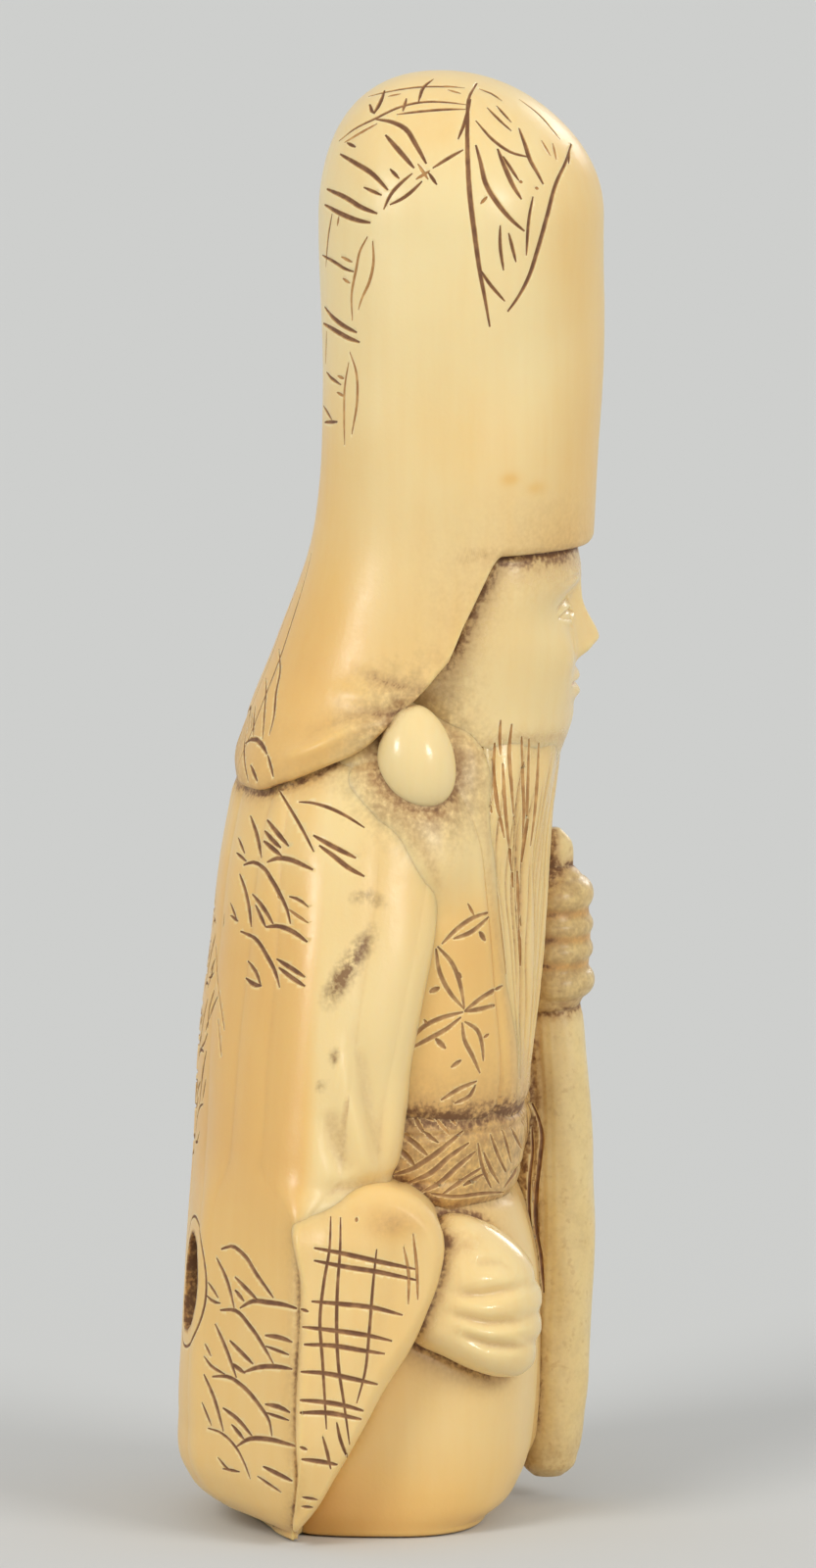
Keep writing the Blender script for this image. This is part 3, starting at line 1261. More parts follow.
# %% Distance to the neighbours
def distances_to(piece, neighbours):
    """Distances in millimetres, one row for each neighbour, from every vertex of the piece."""
    tree = bpy.data.node_groups.new("nearness", "GeometryNodeTree")
    tree.interface.new_socket("Geometry", in_out="INPUT", socket_type="NodeSocketGeometry")
    tree.interface.new_socket("Geometry", in_out="OUTPUT", socket_type="NodeSocketGeometry")
    start, end = tree.nodes.new("NodeGroupInput"), tree.nodes.new("NodeGroupOutput")
    last = start.outputs[0]
    for number, neighbour in enumerate(neighbours):
        other = tree.nodes.new("GeometryNodeObjectInfo")
        other.inputs["Object"].default_value = neighbour
        reach = tree.nodes.new("GeometryNodeProximity")
        store = tree.nodes.new("GeometryNodeStoreNamedAttribute")
        store.inputs["Name"].default_value = "near_%d" % number
        tree.links.new(other.outputs["Geometry"], reach.inputs[0])
        tree.links.new(last, store.inputs["Geometry"])
        tree.links.new(reach.outputs["Distance"], store.inputs["Value"])
        last = store.outputs[0]
    tree.links.new(last, end.inputs[0])
    measure = piece.modifiers.new("nearness", "NODES")
    measure.node_group = tree
    mesh = piece.evaluated_get(bpy.context.evaluated_depsgraph_get()).data
    near = np.empty((len(neighbours), len(mesh.vertices)), np.float32)
    for number, row in enumerate(near):
        mesh.attributes["near_%d" % number].data.foreach_get("value", row)
    piece.modifiers.clear()
    bpy.data.node_groups.remove(tree)
    return near / MM


def read_mesh(piece):
    """Vertex places and normals in millimetres, and the vertex pairs that edges join."""
    mesh = piece.data
    places = np.empty(len(mesh.vertices) * 3)
    mesh.vertices.foreach_get("co", places)
    normals = np.empty(len(mesh.vertices) * 3)
    mesh.vertex_normals.foreach_get("vector", normals)
    pairs = np.empty(len(mesh.edges) * 2, np.int32)
    mesh.edges.foreach_get("vertices", pairs)
    return places.reshape(-1, 3) / MM, normals.reshape(-1, 3), pairs.reshape(-1, 2)


# %% Grooves, roots and their stain
LOBES = ("right_ear_lobe", "left_ear_lobe")
TOUCHING, GREY_REACH = 0.04, 1.1


def lobes(*seam):
    """The same seam with either ear lobe."""
    return [(lobe, *seam) for lobe in LOBES]


LOBE_SEAMS = [
    ("hood", 0.05, 0.2, 0.45, 0.2), ("coat", 0.05, 0.2, 0.45, 0.25),
    ("chest", 0.05, 0.2, 0.45, 0.25),
]
SEAMS = {
    # piece: (neighbour, depth of the groove or minus the height of the root, width, stain, reach)
    "hood": [
        ("head", 0.12, 0.24, 0.95, 0.40), ("coat", 0.20, 0.36, 1.05, 0.34),
        *lobes(0.06, 0.30, 0.55, 0.40),
    ],
    "head": [
        ("hood", 0.12, 0.22, 1.10, 0.70), ("beard", -0.14, 0.45, 0.35, 0.15),
        *lobes(0.05, 0.30, 0.65, 0.45),
    ],
    "right_ear_lobe": LOBE_SEAMS,
    "left_ear_lobe": LOBE_SEAMS,
    "beard": [
        ("head", 0.0, 0.3, 0.35, 0.15), ("chest", 0.0, 0.3, 0.22, 0.15),
        ("sash", 0.05, 0.3, 0.8, 0.4), ("staff", 0.05, 0.3, 0.6, 0.4),
        ("left_hand", 0.05, 0.3, 0.6, 0.4),
    ],
    "chest": [
        ("coat", -0.50, 0.95, 0.30, 0.15), ("beard", -0.22, 0.60, 0.22, 0.18),
        ("sash", 0.16, 0.30, 1.0, 0.80), ("head", -0.35, 0.80, 0.25, 0.30),
        *lobes(0.05, 0.3, 0.75, 0.55),
        ("staff", 0.05, 0.3, 0.9, 0.6), ("left_sleeve", 0.05, 0.3, 0.6, 0.4),
    ],
    "sash": [
        ("chest", 0.10, 0.28, 0.85, 0.35), ("skirt", 0.12, 0.28, 0.60, 0.30),
        ("beard", 0.12, 0.35, 1.0, 0.55), ("coat", 0.05, 0.30, 0.60, 0.40),
        ("right_sleeve", 0.10, 0.30, 0.95, 0.55), ("staff", -0.60, 0.80, 0.72, 0.90),
    ],
    "skirt": [
        ("sash", 0.10, 0.28, 0.40, 0.30), ("right_sleeve", 0.03, 0.25, 0.35, 0.25),
        ("left_sleeve", 0.03, 0.25, 0.35, 0.25), ("right_hand", 0.12, 0.32, 0.95, 0.45),
        ("staff", -0.62, 0.80, 0.70, 0.70), ("coat", 0.03, 0.25, 0.40, 0.25),
    ],
    "coat": [
        ("hood", 0.10, 0.30, 0.85, 0.32), ("chest", -0.14, 0.60, 0.30, 0.15),
        *lobes(0.06, 0.35, 0.60, 0.50),
        ("right_sleeve", 0.12, 0.22, 1.0, 0.24), ("left_sleeve", 0.12, 0.22, 1.0, 0.24),
        ("sash", 0.08, 0.3, 0.75, 0.40),
    ],
    "right_sleeve": [
        ("coat", 0.10, 0.22, 1.0, 0.20), ("skirt", 0.0, 0.3, 0.20, 0.20),
        ("sash", 0.10, 0.30, 0.95, 0.50), ("right_hand", 0.05, 0.28, 0.55, 0.28),
    ],
    "left_sleeve": [
        ("coat", 0.10, 0.22, 1.0, 0.20), ("skirt", 0.0, 0.3, 0.20, 0.20),
        ("sash", 0.10, 0.3, 0.8, 0.4), ("chest", 0.08, 0.3, 0.6, 0.4),
        ("left_hand", 0.10, 0.3, 0.75, 0.4), ("staff", 0.05, 0.3, 0.7, 0.5),
    ],
    "staff": [
        ("skirt", 0.0, 0.3, 0.70, 0.45), ("left_hand", 0.06, 0.25, 0.75, 0.20),
        ("sash", 0.0, 0.3, 0.80, 0.55), ("beard", 0.0, 0.3, 0.80, 0.45),
    ],
    "left_hand": [
        ("staff", 0.08, 0.25, 0.75, 0.20), ("beard", 0.05, 0.3, 1.0, 0.6),
        ("left_sleeve", 0.08, 0.3, 0.7, 0.4),
    ],
    "right_hand": [("skirt", 0.05, 0.28, 0.50, 0.30), ("right_sleeve", 0.05, 0.28, 0.75, 0.30)],
}


def crease_share(places):
    """How strong the seam between coat and sleeve is, 0.16 to 1.

    It is a fine line down the side ridge, almost nothing at the middle of the elbow's crease,
    and deep again where the crease meets the sash.
    """
    _, y, z = places.T
    ridge = 0.40 * step(3.6, 4.1, y) * step(16.0, 13.0, z)
    front = 0.95 * step(0.2, -1.5, y) * step(21.5, 18.5, z)
    return np.clip(np.maximum(ridge, front) + 0.16, 0.0, 1.0)


def shoulder_share(places):
    """0 below the armpit and 1 above, where the coat's front edge runs out into the chest."""
    return step(30.0, 33.0, places[:, 2])


SHARES = {("chest", "coat"): shoulder_share, ("coat", "chest"): shoulder_share}
for sleeve in ("right_sleeve", "left_sleeve"):
    SHARES["coat", sleeve] = SHARES[sleeve, "coat"] = crease_share


def cut_seams():
    """Move each vertex by -normal * depth * share * bell(distance, width), for every seam.

    All distances are those before any cut, and most shares are 1. Returns for each piece the
    stain of its seams, strength * share * exp(-d / reach), where the first 0.04 mm count as
    touching, and the grey that gathers round the ear lobes, exp(-distance / 1.1).
    """
    distances = {
        node: distances_to(BY_NODE[node], [BY_NODE[seam[0]] for seam in seams])
        for node, seams in SEAMS.items()
    }
    stains, greys = {}, {}
    for node, seams in SEAMS.items():
        piece = BY_NODE[node]
        places, normals, _ = read_mesh(piece)
        cut, stain, grey = np.zeros((3, len(places)))
        for (other, depth, width, strength, reach), distance in zip(seams, distances[node]):
            share = SHARES.get((node, other), lambda places: 1.0)(places)
            cut += depth * share * bell(distance, width)
            near = np.exp(-np.maximum(distance - TOUCHING, 0.0) / reach)
            stain = np.maximum(stain, strength * share * near)
            if other in LOBES:
                grey = np.maximum(grey, np.exp(-distance / GREY_REACH))
        piece.data.vertices.foreach_set("co", ((places - normals * cut[:, None]) * MM).ravel())
        piece.data.update()
        stains[node], greys[node] = stain, grey
    return stains, greys


seam_stain, lobe_grey = cut_seams()
print("seams of", len(SEAMS), "pieces")

# %% [markdown]
# ## Where the stain stays
#
# The whole carving was stained and then polished, so colour is left only in low places: next to
# the seams, between fingers and hairs, and at the foot of each fold. A low place is found by
# easing the surface and looking at where the eased one lies above it. Three numbers at every
# vertex steer the ivory: tone warms it, stain browns it and grime greys it.

# %% Low places
def eased(places, pairs, rounds):
    """Each vertex moves to the mean of its neighbours, again and again."""
    count = len(places)
    a, b = pairs.T
    share = 1.0 / np.maximum(np.bincount(a, minlength=count) + np.bincount(b, minlength=count), 1)
    for _ in range(rounds):
        places = np.stack([
            (np.bincount(a, column[b], count) + np.bincount(b, column[a], count)) * share
            for column in places.T
        ], axis=1)
    return places


def low_places(piece, rounds):
    """How far the eased surface lies above the real one, in millimetres."""
    places, normals, pairs = read_mesh(piece)
    lift = eased(places, pairs, rounds) - places
    return np.sum(lift * normals, axis=1)


# %% Tone, stain and grime of each piece
def cord_bore(x, y, z):
    """1 inside the bored half ring and at its rim, 0 elsewhere."""
    aside = (np.hypot(x, y - HOLE_Y) - HOLE_X) / HOLE_HALF_WIDTH
    return step(1.16, 1.02, aside**2 + ((z - HOLE_LEVEL) / HOLE_HALF_HEIGHT) ** 2)


def hand_grooves(z):
    """1 in the three grooves between the fingers of the left hand."""
    return sum(bell(z - level, 0.24) for level in (28.80, 27.55, 26.25))


def behind_edge(y, z):
    """0 on the chest's side of a line down the coat, 1 behind it."""
    return step(-0.6, 0.6, y - np.interp(z, (15.0, 18.0, 30.0, 38.0), (4.2, 3.8, 3.4, 3.0)))


TONES = {
    "hood": lambda x, y, z: (
        0.10 + 0.75 * step(0.2, 4.2, y) * step(62.0, 47.0, z) + 0.50 * step(-6.6, -9.6, y)
        + 0.25 * step(58.0, 50.0, z) + 0.30 * step(64.0, 69.0, z) + 0.25 * bell(z - 43.0, 4.0)
        + 0.6 * bell(y + 5.9, 0.45) * bell(z - 51.1, 0.30)
        + 0.45 * bell(y + 7.1, 0.45) * bell(z - 50.6, 0.30)
    ),
    "head": lambda x, y, z: 0.22 + 0.20 * step(-7.5, -9.5, y),
    "beard": lambda x, y, z: 0.55 + 0.25 * step(30.0, 24.0, z),
    "chest": lambda x, y, z: 1.05 - 1.0 * step(28.5, 33.0, z),
    "sash": lambda x, y, z: 0.95,
    "skirt": lambda x, y, z: (
        0.50 + 0.85 * step(5.5, 0.5, z) * (0.35 + 0.65 * step(-6.2, -3.0, y))
        + 0.25 * step(-3.0, 2.0, y)
    ),
    "coat": lambda x, y, z: (
        0.05 + behind_edge(y, z)
        * np.interp(z, (3.0, 13.0, 19.0, 28.0, 33.0), (0.75, 0.95, 1.35, 1.25, 0.70))
        + (0.25 * step(24.0, 18.0, z) + 0.45 * bell(z - 33.0, 3.0)) * step(2.4, 0.2, y)
        + 0.8 * cord_bore(x, y, z)
    ),
    "right_sleeve": lambda x, y, z: (
        0.62 + 0.6 * bell(y + 0.4, 1.5) * bell(z - 15.8, 0.8) - 0.2 * step(-0.6, -2.0, y)
    ),
    "left_sleeve": lambda x, y, z: 0.60,
    "staff": lambda x, y, z: 0.30 + 0.15 * step(-7.9, -7.2, y),
    "left_hand": lambda x, y, z: 0.60 + 1.1 * hand_grooves(z),
    "right_hand": lambda x, y, z: 0.35 + 0.25 * step(-3.2, -1.2, y),
}
PLAIN_TONE = 0.15
STAINS = {
    # piece: share of the low places, rounds of easing, extra stain
    "beard": (2.0, 9, lambda x, y, z: 0.55 * beard_cut + 0.25 * step(24.0, 21.5, z)),
    "coat": (3.0, 16, lambda x, y, z: 0.75 * cord_bore(x, y, z)),
    "head": (4.5, 10, lambda x, y, z: 0.0),
    "staff": (3.0, 20, lambda x, y, z: (
        0.46 * step(-7.75, -7.25, y) * step(2.6, 4.2, z) * step(24.6, 22.4, z)
        + 0.30 * step(4.2, 1.4, z) + 0.62 * step(-8.5, -8.1, y) * step(30.0, 30.6, z)
    )),
    "hood": (3.0, 20, lambda x, y, z: drawn(y, z, HOOD_SMUDGES) * step(4.0, 6.0, np.abs(x))),
    "right_sleeve": (3.0, 20, lambda x, y, z: 0.34 * bell(y + 0.4, 1.3) * bell(z - 15.9, 0.6)),
    "left_hand": (5.0, 20, lambda x, y, z: (
        0.50 * step(-9.0, -8.0, y) * (hand_grooves(z) + step(29.4, 30.4, z))
    )),
    "right_hand": (4.0, 20, lambda x, y, z: 0.30 * bell(y + 3.2, 1.2) * bell(z - 14.6, 0.5)),
}
PLAIN_STAIN = (3.0, 20, lambda x, y, z: 0.0)
GRIME = {"sash": 0.36, "left_hand": 0.26, "staff": 0.08}
HOOD_SMUDGES = [
    # amount, width, points (y, z)
    (0.26, 0.26, [(1.2, 41.9), (0.0, 41.4), (-1.4, 41.0)]),
    (0.30, 0.26, [(1.6, 39.5), (0.2, 39.9), (-1.2, 40.3)]),
    (0.34, 0.22, [(-3.4, 47.4), (-4.4, 47.5), (-5.6, 47.6)]),
]
COAT_GRIME = [
    (0.85, 0.46, [(0.7, 29.7), (1.5, 28.6), (2.3, 27.3), (2.8, 26.4)]),
    (0.50, 0.30, [(1.7, 31.3), (0.9, 31.4), (0.1, 31.0)]),
    (0.50, 0.24, [(2.5, 24.2), (2.5, 23.5)]),
    (0.45, 0.22, [(3.1, 22.8), (3.1, 22.2)]),
]


def paint_piece(node):
    """Store tone, stain and grime on the piece that stands for a node."""
    piece = BY_NODE[node]
    x, y, z = read_mesh(piece)[0].T
    gain, rounds, extra = STAINS.get(node, PLAIN_STAIN)
    low = np.clip(low_places(piece, rounds) * gain, 0.0, 0.8)
    grime = 0.62 * lobe_grey[node] + GRIME.get(node, 0.0)
    if node == "coat":
        grime = np.maximum(grime, drawn(y, z, COAT_GRIME) * step(-7.0, -8.5, x))
    tone = np.zeros(len(x)) + (TONES[node](x, y, z) if node in TONES else PLAIN_TONE)
    stain = np.clip(np.maximum(seam_stain[node], low) + extra(x, y, z), 0.0, 1.2)
    for name, values in (("tone", tone), ("stain", stain), ("grime", grime)):
        attribute = piece.data.attributes.new(name, "FLOAT", "POINT")
        attribute.data.foreach_set("value", np.ascontiguousarray(values, np.float32))


for node in BY_NODE:
    paint_piece(node)
print("painted:", ", ".join(BY_NODE))

# %% [markdown]
# ## Engraved lines
#
# Patterns on netsuke are drawn with a graver: a V cut that starts fine, swells and ends fine,
# then filled with dark stain. Each stroke is drawn in the view, in millimetres across and up
# from the foot, thrown onto the surface from the camera's place, and cut out as a thin V bar.

# %% Strokes from the view to the surface
TILT = math.radians(8.0)
DISTANCE = 1000.0
FORWARD = Vector((math.cos(TILT), 0.0, -math.sin(TILT)))
UP = Vector((math.sin(TILT), 0.0, math.cos(TILT)))
RIGHT = Vector((0.0, -1.0, 0.0))
VIEW_CENTRE = RIGHT * 1.02 + UP * 35.2
CAMERA = VIEW_CENTRE - FORWARD * DISTANCE
# A stroke stops where its line of sight meets the surface flatter than this cosine.
GRAZING = 0.08
# The graver's bar stands this far above the surface, and its shoulders lie this far below.
LIFT, SHOULDER = 0.035, 0.030


def along(points, spacing=0.22):
    """Evenly spaced points on the smooth curve through the given ones."""
    points = np.asarray(points, float)
    gaps = np.linalg.norm(np.diff(points, axis=0), axis=1)
    keys = np.concatenate(([0.0], np.cumsum(gaps)))
    count = max(int(keys[-1] / spacing), 4)
    return smooth(np.linspace(0.0, keys[-1], count), keys, points)


def thrown(tree, points, side):
    """Surface places and normals below a stroke.

    It is thrown from the camera of the right or the left flank, or straight from the back or
    the front, where `points` are x and z. Points that would graze the surface are left out.
    """
    places, normals = [], []
    straight = {"back": 1.0, "front": -1.0}.get(side)
    for a, b in along(points):
        if straight:
            start, towards = Vector((a, 40.0 * straight, b)), Vector((0.0, -straight, 0.0))
        else:
            start = CAMERA.copy()
            towards = (RIGHT * a + UP * b - start).normalized()
            if side == "left":
                start.x, towards.x = -start.x, -towards.x
        place, normal, _, _ = tree.ray_cast(start, towards, 2 * DISTANCE)
        if place is not None and normal.dot(towards) < -GRAZING:
            places.append(place)
            normals.append(normal)
    return np.array(places), np.array(normals)


def stroke_bar(places, normals, width, depth):
    """Vertices and faces of a bar that cuts a V with shallow shoulders and tapers at both ends.

    Half of the section, in side and normal, runs through (0.95 w, h), (0.5 w, -s) and (0, -d),
    h above and s below the surface, with the sides and d scaled by sin(pi t)^0.45 along it.
    """
    count = len(places)
    ahead = np.gradient(places, axis=0)
    ahead /= np.maximum(np.linalg.norm(ahead, axis=1, keepdims=True), 1e-9)
    side = np.cross(ahead, normals)
    side /= np.maximum(np.linalg.norm(side, axis=1, keepdims=True), 1e-9)
    t = np.linspace(0.03, 0.97, count)[:, None]
    taper = np.sin(math.pi * t) ** 0.45
    half = ((0.95, LIFT), (0.5, -SHOULDER))
    section = (*half, (0.0, -depth * taper), *((-across, height) for across, height in half[::-1]))
    rails = np.stack([
        places + side * across * width * taper + normals * height for across, height in section
    ], axis=1)
    index = np.arange(count * 5).reshape(count, 5)
    after = np.roll(index, -1, axis=1)
    quads = np.stack((index[:-1], index[1:], after[1:], after[:-1]), axis=-1).reshape(-1, 4)
    faces = quads.tolist() + [index[0].tolist(), index[-1][::-1].tolist()]
    return rails.reshape(-1, 3), faces


def closest(a, b):
    """Smallest distance between the points of two strokes."""
    return np.min(np.linalg.norm(a[:, None] - b[None], axis=2))


def apart(strokes, gap):
    """Sort strokes into layers so that no two in a layer come closer than the gap."""
    layers = []
    for stroke in strokes:
        for layer in layers:
            if all(closest(stroke[0], other[0]) > gap for other in layer):
                layer.append(stroke)
                break
        else:
            layers.append([stroke])
    return layers


GRAVERS = {
    # weight: width, depth, stain in the V, stain on its shoulders
    "bold": (0.20, 0.12, 0, 2), "plain": (0.14, 0.10, 0, 2), "faint": (0.12, 0.07, 1, 1),
    "soft": (0.22, 0.11, 3, 2), "thin": (0.18, 0.08, 3, 2), "hair": (0.17, 0.08, 1, 2),
}


def engrave(piece, groups):
    """Cut drawings into a piece. A group is a side and its strokes by weight."""
    faces = [tuple(face.vertices) for face in piece.data.polygons]
    tree = BVHTree.FromPolygons(read_mesh(piece)[0].tolist(), faces)
    strokes = []
    for side, drawing in groups:
        for weight, lines in drawing.items():
            for line in lines:
                where, normals = thrown(tree, line, side)
                if len(where) > 3:
                    strokes.append((where, normals, GRAVERS[weight]))
    for layer in apart(strokes, 0.50):
        vertices, faces, stains, first = [], [], [], 0
        for where, normals, (width, depth, deep, shoulder) in layer:
            bar, bar_faces = stroke_bar(where, normals, width, depth)
            vertices.append(bar)
            faces += [[corner + first for corner in face] for face in bar_faces]
            stains += [shoulder, deep, deep, shoulder, deep] * (len(where) - 1) + [deep, deep]
            first += len(bar)
        cutter = add_mesh("graver", np.vstack(vertices), faces)
        for stain in INKS:
            cutter.data.materials.append(stain)
        cutter.data.polygons.foreach_set("material_index", stains)
        bm = bmesh.new()
        bm.from_mesh(cutter.data)
        face_outwards(bm, cutter.data)
        carve(piece, cutter)
    return len(strokes)


print("graver ready")

# %% [markdown]
# ## The patterns
#
# Bamboo leaves, a fan of plaid and woven bands are old patterns. Each stroke below is a short
# list of points. Bold and soft strokes are the wide ones. The stain has worn in soft and thin
# strokes, and hair and faint ones kept only a little of it.

# %% Strokes
HOOD_LINES = {
    "bold": [
        [(-0.12, 68.73), (-0.33, 68.14), (-0.67, 67.64), (-0.84, 68.06)],
        [(-0.54, 67.34), (0.22, 67.21), (0.9, 66.87), (1.4, 66.11), (1.91, 65.18)],
        [(-0.08, 66.58), (0.73, 65.65), (1.32, 64.97)],
        [(-2.27, 65.65), (-1.47, 65.18), (-0.79, 64.76), (0.05, 63.91)],
        [(-2.91, 63.96), (-2.06, 63.58), (-1.22, 63.07), (-0.46, 62.77)],
        [(-3.01, 63.2), (-2.23, 62.77), (-1.39, 62.44), (-0.79, 62.33)],
        [(-3.15, 58.47), (-2.68, 57.82), (-2.03, 57.31), (-1.45, 57.02)],
        [(-3.07, 57.46), (-2.47, 57.1), (-1.89, 56.77), (-1.31, 56.55)],
        [(4.35, 69.08), (3.99, 68.44), (3.9, 67.27), (3.9, 65.73), (3.99, 63.92), (4.26, 61.65),
         (4.49, 60.02), (4.76, 58.57), (4.98, 57.3)],
        [(8.92, 66.14), (8.65, 65.27), (8.2, 64.28), (7.75, 62.65), (7.29, 61.02), (6.84, 59.66),
         (6.3, 58.66), (5.84, 58.03)],
        [(4.3, 66.09), (4.53, 65.27), (4.76, 64.28), (5.48, 63.1), (6.12, 62.38), (6.66, 61.92)],
        [(5.35, 65.91), (5.75, 64.91), (6.12, 64.1), (6.52, 63.46)],
        [(6.39, 66.91), (6.66, 66.18), (6.93, 65.37), (7.29, 64.73), (7.57, 64.19)],
        [(-6.85, 37.18), (-6.46, 37.4), (-6.1, 37.17), (-5.8, 36.64)],
        [(-6.61, 36.11), (-6.26, 35.33)],
    ],
    "plain": [
        [(-0.88, 68.44), (-0.03, 68.65), (1.66, 68.9), (3.08, 68.9), (3.77, 68.86)],
        [(-2.32, 66.28), (-1.56, 66.87), (-0.63, 67.34), (0.81, 67.99), (1.66, 68.16),
         (3.08, 68.14), (3.86, 68.04)],
        [(0.47, 67.57), (1.66, 67.72), (3.08, 67.82), (3.81, 67.82)],
        [(2.25, 69.28), (1.78, 68.9), (1.53, 68.18)], [(0.94, 68.35), (0.77, 67.72)],
        [(0.14, 64.93), (0.6, 64.46)], [(-1.13, 64.04), (-0.25, 63.66)],
        [(-1.94, 66.2), (-1.51, 65.99)],
        [(-0.16, 62.98), (0.22, 63.75), (0.73, 64.3), (1.23, 64.72)],
        [(0.14, 63.2), (0.73, 63.49), (1.23, 63.87), (1.7, 64.34)], [(2.0, 64.76), (2.42, 64.17)],
        [(2.21, 64.97), (3.08, 65.52), (3.69, 65.86)],
        [(-2.65, 62.77), (-2.82, 61.8), (-2.91, 60.83), (-2.95, 60.19)],
        [(-3.12, 60.76), (-2.47, 60.39), (-2.03, 60.1), (-1.6, 59.96)],
        [(-2.92, 57.1), (-2.96, 55.5)], [(-3.07, 55.39), (-2.79, 54.92), (-2.21, 54.49)],
        [(-3.06, 53.47), (-2.65, 52.78)], [(-3.01, 52.68), (-2.39, 52.71)],
        [(4.05, 68.31), (3.76, 67.18), (3.44, 66.36)], [(4.47, 60.11), (5.03, 59.3), (5.71, 58.53)],
        [(4.3, 67.27), (5.21, 66.27), (6.03, 65.73), (6.89, 65.5)],
        [(5.62, 65.55), (6.03, 64.91), (6.39, 64.37)], [(5.3, 67.99), (6.03, 67.18)],
        [(4.85, 67.9), (5.57, 67.18), (6.03, 66.77)], [(4.44, 68.81), (5.12, 68.54), (5.57, 68.22)],
        [(7.07, 63.6), (6.89, 62.65), (6.75, 60.75)], [(5.48, 62.2), (5.48, 61.2), (5.65, 60.02)],
        [(5.89, 61.83), (6.25, 60.43)],
        [(6.39, 68.31), (7.38, 67.54), (8.02, 66.81), (8.38, 66.36)],
        [(8.83, 65.91), (8.79, 65.18)],
        [(-5.22, 41.73), (-5.18, 40.59), (-5.36, 39.7), (-5.49, 38.39), (-5.69, 37.58)],
        [(-5.86, 40.31), (-5.85, 40.02), (-5.93, 38.72), (-6.02, 37.37)],
        [(-6.37, 38.96), (-6.45, 38.23), (-6.46, 37.49)],
        [(-6.77, 37.9), (-6.9, 37.09), (-6.89, 36.27), (-6.71, 35.33)],
        [(-5.77, 36.6), (-5.61, 36.03), (-5.49, 35.54)],
    ],
    "faint": [
        [(-2.06, 66.2), (-1.3, 66.66), (-0.46, 67.13)], [(0.05, 68.44), (0.68, 68.57)],
        [(1.49, 65.18), (2.0, 64.42)], [(1.4, 64.42), (2.08, 64.85)],
        [(-2.32, 62.65), (-2.4, 62.18)], [(-2.21, 60.68), (-1.67, 60.43)],
        [(-0.94, 61.66), (-1.31, 60.94), (-1.49, 60.07), (-1.71, 58.84), (-1.67, 57.6)],
        [(-0.69, 61.44), (-0.65, 60.43), (-0.87, 59.41), (-1.23, 58.62), (-1.38, 58.11)],
        [(-2.14, 59.63), (-1.78, 59.41)], [(-2.39, 54.92), (-2.07, 54.8)],
        [(-2.43, 54.13), (-2.05, 53.94)],
        [(-1.8, 56.08), (-1.51, 55.21), (-1.44, 53.76), (-1.7, 52.1)],
        [(-1.85, 55.57), (-2.03, 54.49), (-2.07, 53.04), (-2.05, 51.59)],
        [(4.85, 63.6), (4.53, 63.24)], [(7.47, 66.32), (7.93, 65.55)],
        [(8.02, 66.18), (8.2, 65.37)], [(7.16, 64.01), (7.34, 63.98)],
        [(6.39, 64.32), (6.57, 64.3)], [(2.95, 68.76), (3.58, 68.58)], [(2.67, 68.94), (3.4, 68.9)],
        [(-6.53, 38.64), (-6.55, 37.9)],
    ],
}
COAT_TOP_LINES = {
    "bold": [
        [(-6.61, 33.66), (-6.3, 32.76), (-6.06, 31.62)],
        [(-5.8, 33.46), (-5.32, 32.85), (-4.75, 32.19)],
        [(-5.92, 32.93), (-5.49, 32.44), (-5.12, 32.11)],
        [(-5.97, 32.44), (-5.57, 32.11), (-5.08, 31.7)],
        [(-5.81, 31.42), (-5.32, 31.61), (-4.67, 31.54), (-4.02, 31.26), (-3.57, 31.05)],
        [(-6.94, 31.28), (-6.46, 31.42), (-5.97, 31.13), (-5.53, 30.48), (-5.16, 29.83),
         (-4.83, 29.1), (-4.67, 28.44)],
        [(-7.13, 30.85), (-6.91, 30.24), (-6.71, 29.42), (-6.56, 28.28)],
        [(-3.57, 32.72), (-2.63, 32.19), (-1.49, 31.62)],
        [(-3.28, 32.23), (-2.55, 31.7), (-1.82, 31.13), (-1.08, 30.73)],
        [(-6.52, 29.87), (-6.01, 29.25), (-5.5, 28.43)], [(-6.37, 29.35), (-5.86, 28.28)],
        [(-5.86, 28.28), (-5.29, 28.33), (-4.57, 28.07), (-3.85, 27.56)],
        [(-7.09, 28.07), (-6.42, 27.76), (-5.81, 26.89), (-5.39, 26.07), (-5.19, 25.35)],
        [(-6.73, 26.63), (-6.32, 26.07), (-6.11, 25.5)],
        [(-6.83, 25.81), (-6.42, 25.5), (-6.06, 25.45)],
        [(-5.34, 26.74), (-4.68, 26.32), (-3.96, 25.86)],
        [(-5.24, 26.32), (-4.57, 25.81), (-3.96, 25.42)],
    ],
    "plain": [
        [(-4.26, 34.33), (-3.77, 34.31), (-2.96, 34.11), (-1.98, 33.66), (-1.08, 33.09)],
        [(-5.2, 34.87), (-4.67, 33.99), (-4.1, 33.01), (-3.53, 31.91)],
        [(-7.2, 32.6), (-6.87, 31.83)], [(-7.28, 31.87), (-6.79, 31.46)],
        [(-4.73, 29.76), (-4.27, 29.61), (-3.8, 29.25)], [(-7.58, 29.46), (-7.24, 28.58)],
        [(-7.57, 28.84), (-7.19, 28.56)], [(-7.86, 28.94), (-7.91, 28.28)],
        [(-8.35, 25.25), (-8.6, 24.32), (-8.66, 23.4)],
        [(-8.17, 24.94), (-8.37, 24.53), (-8.61, 23.81)], [(-8.4, 26.38), (-8.65, 25.35)],
    ],
    "faint": [
        [(-4.78, 29.15), (-4.27, 28.79), (-3.8, 28.48)],
        [(-8.27, 27.4), (-8.17, 25.55), (-7.86, 23.3)], [(-8.17, 23.81), (-8.01, 22.06)],
    ],
}
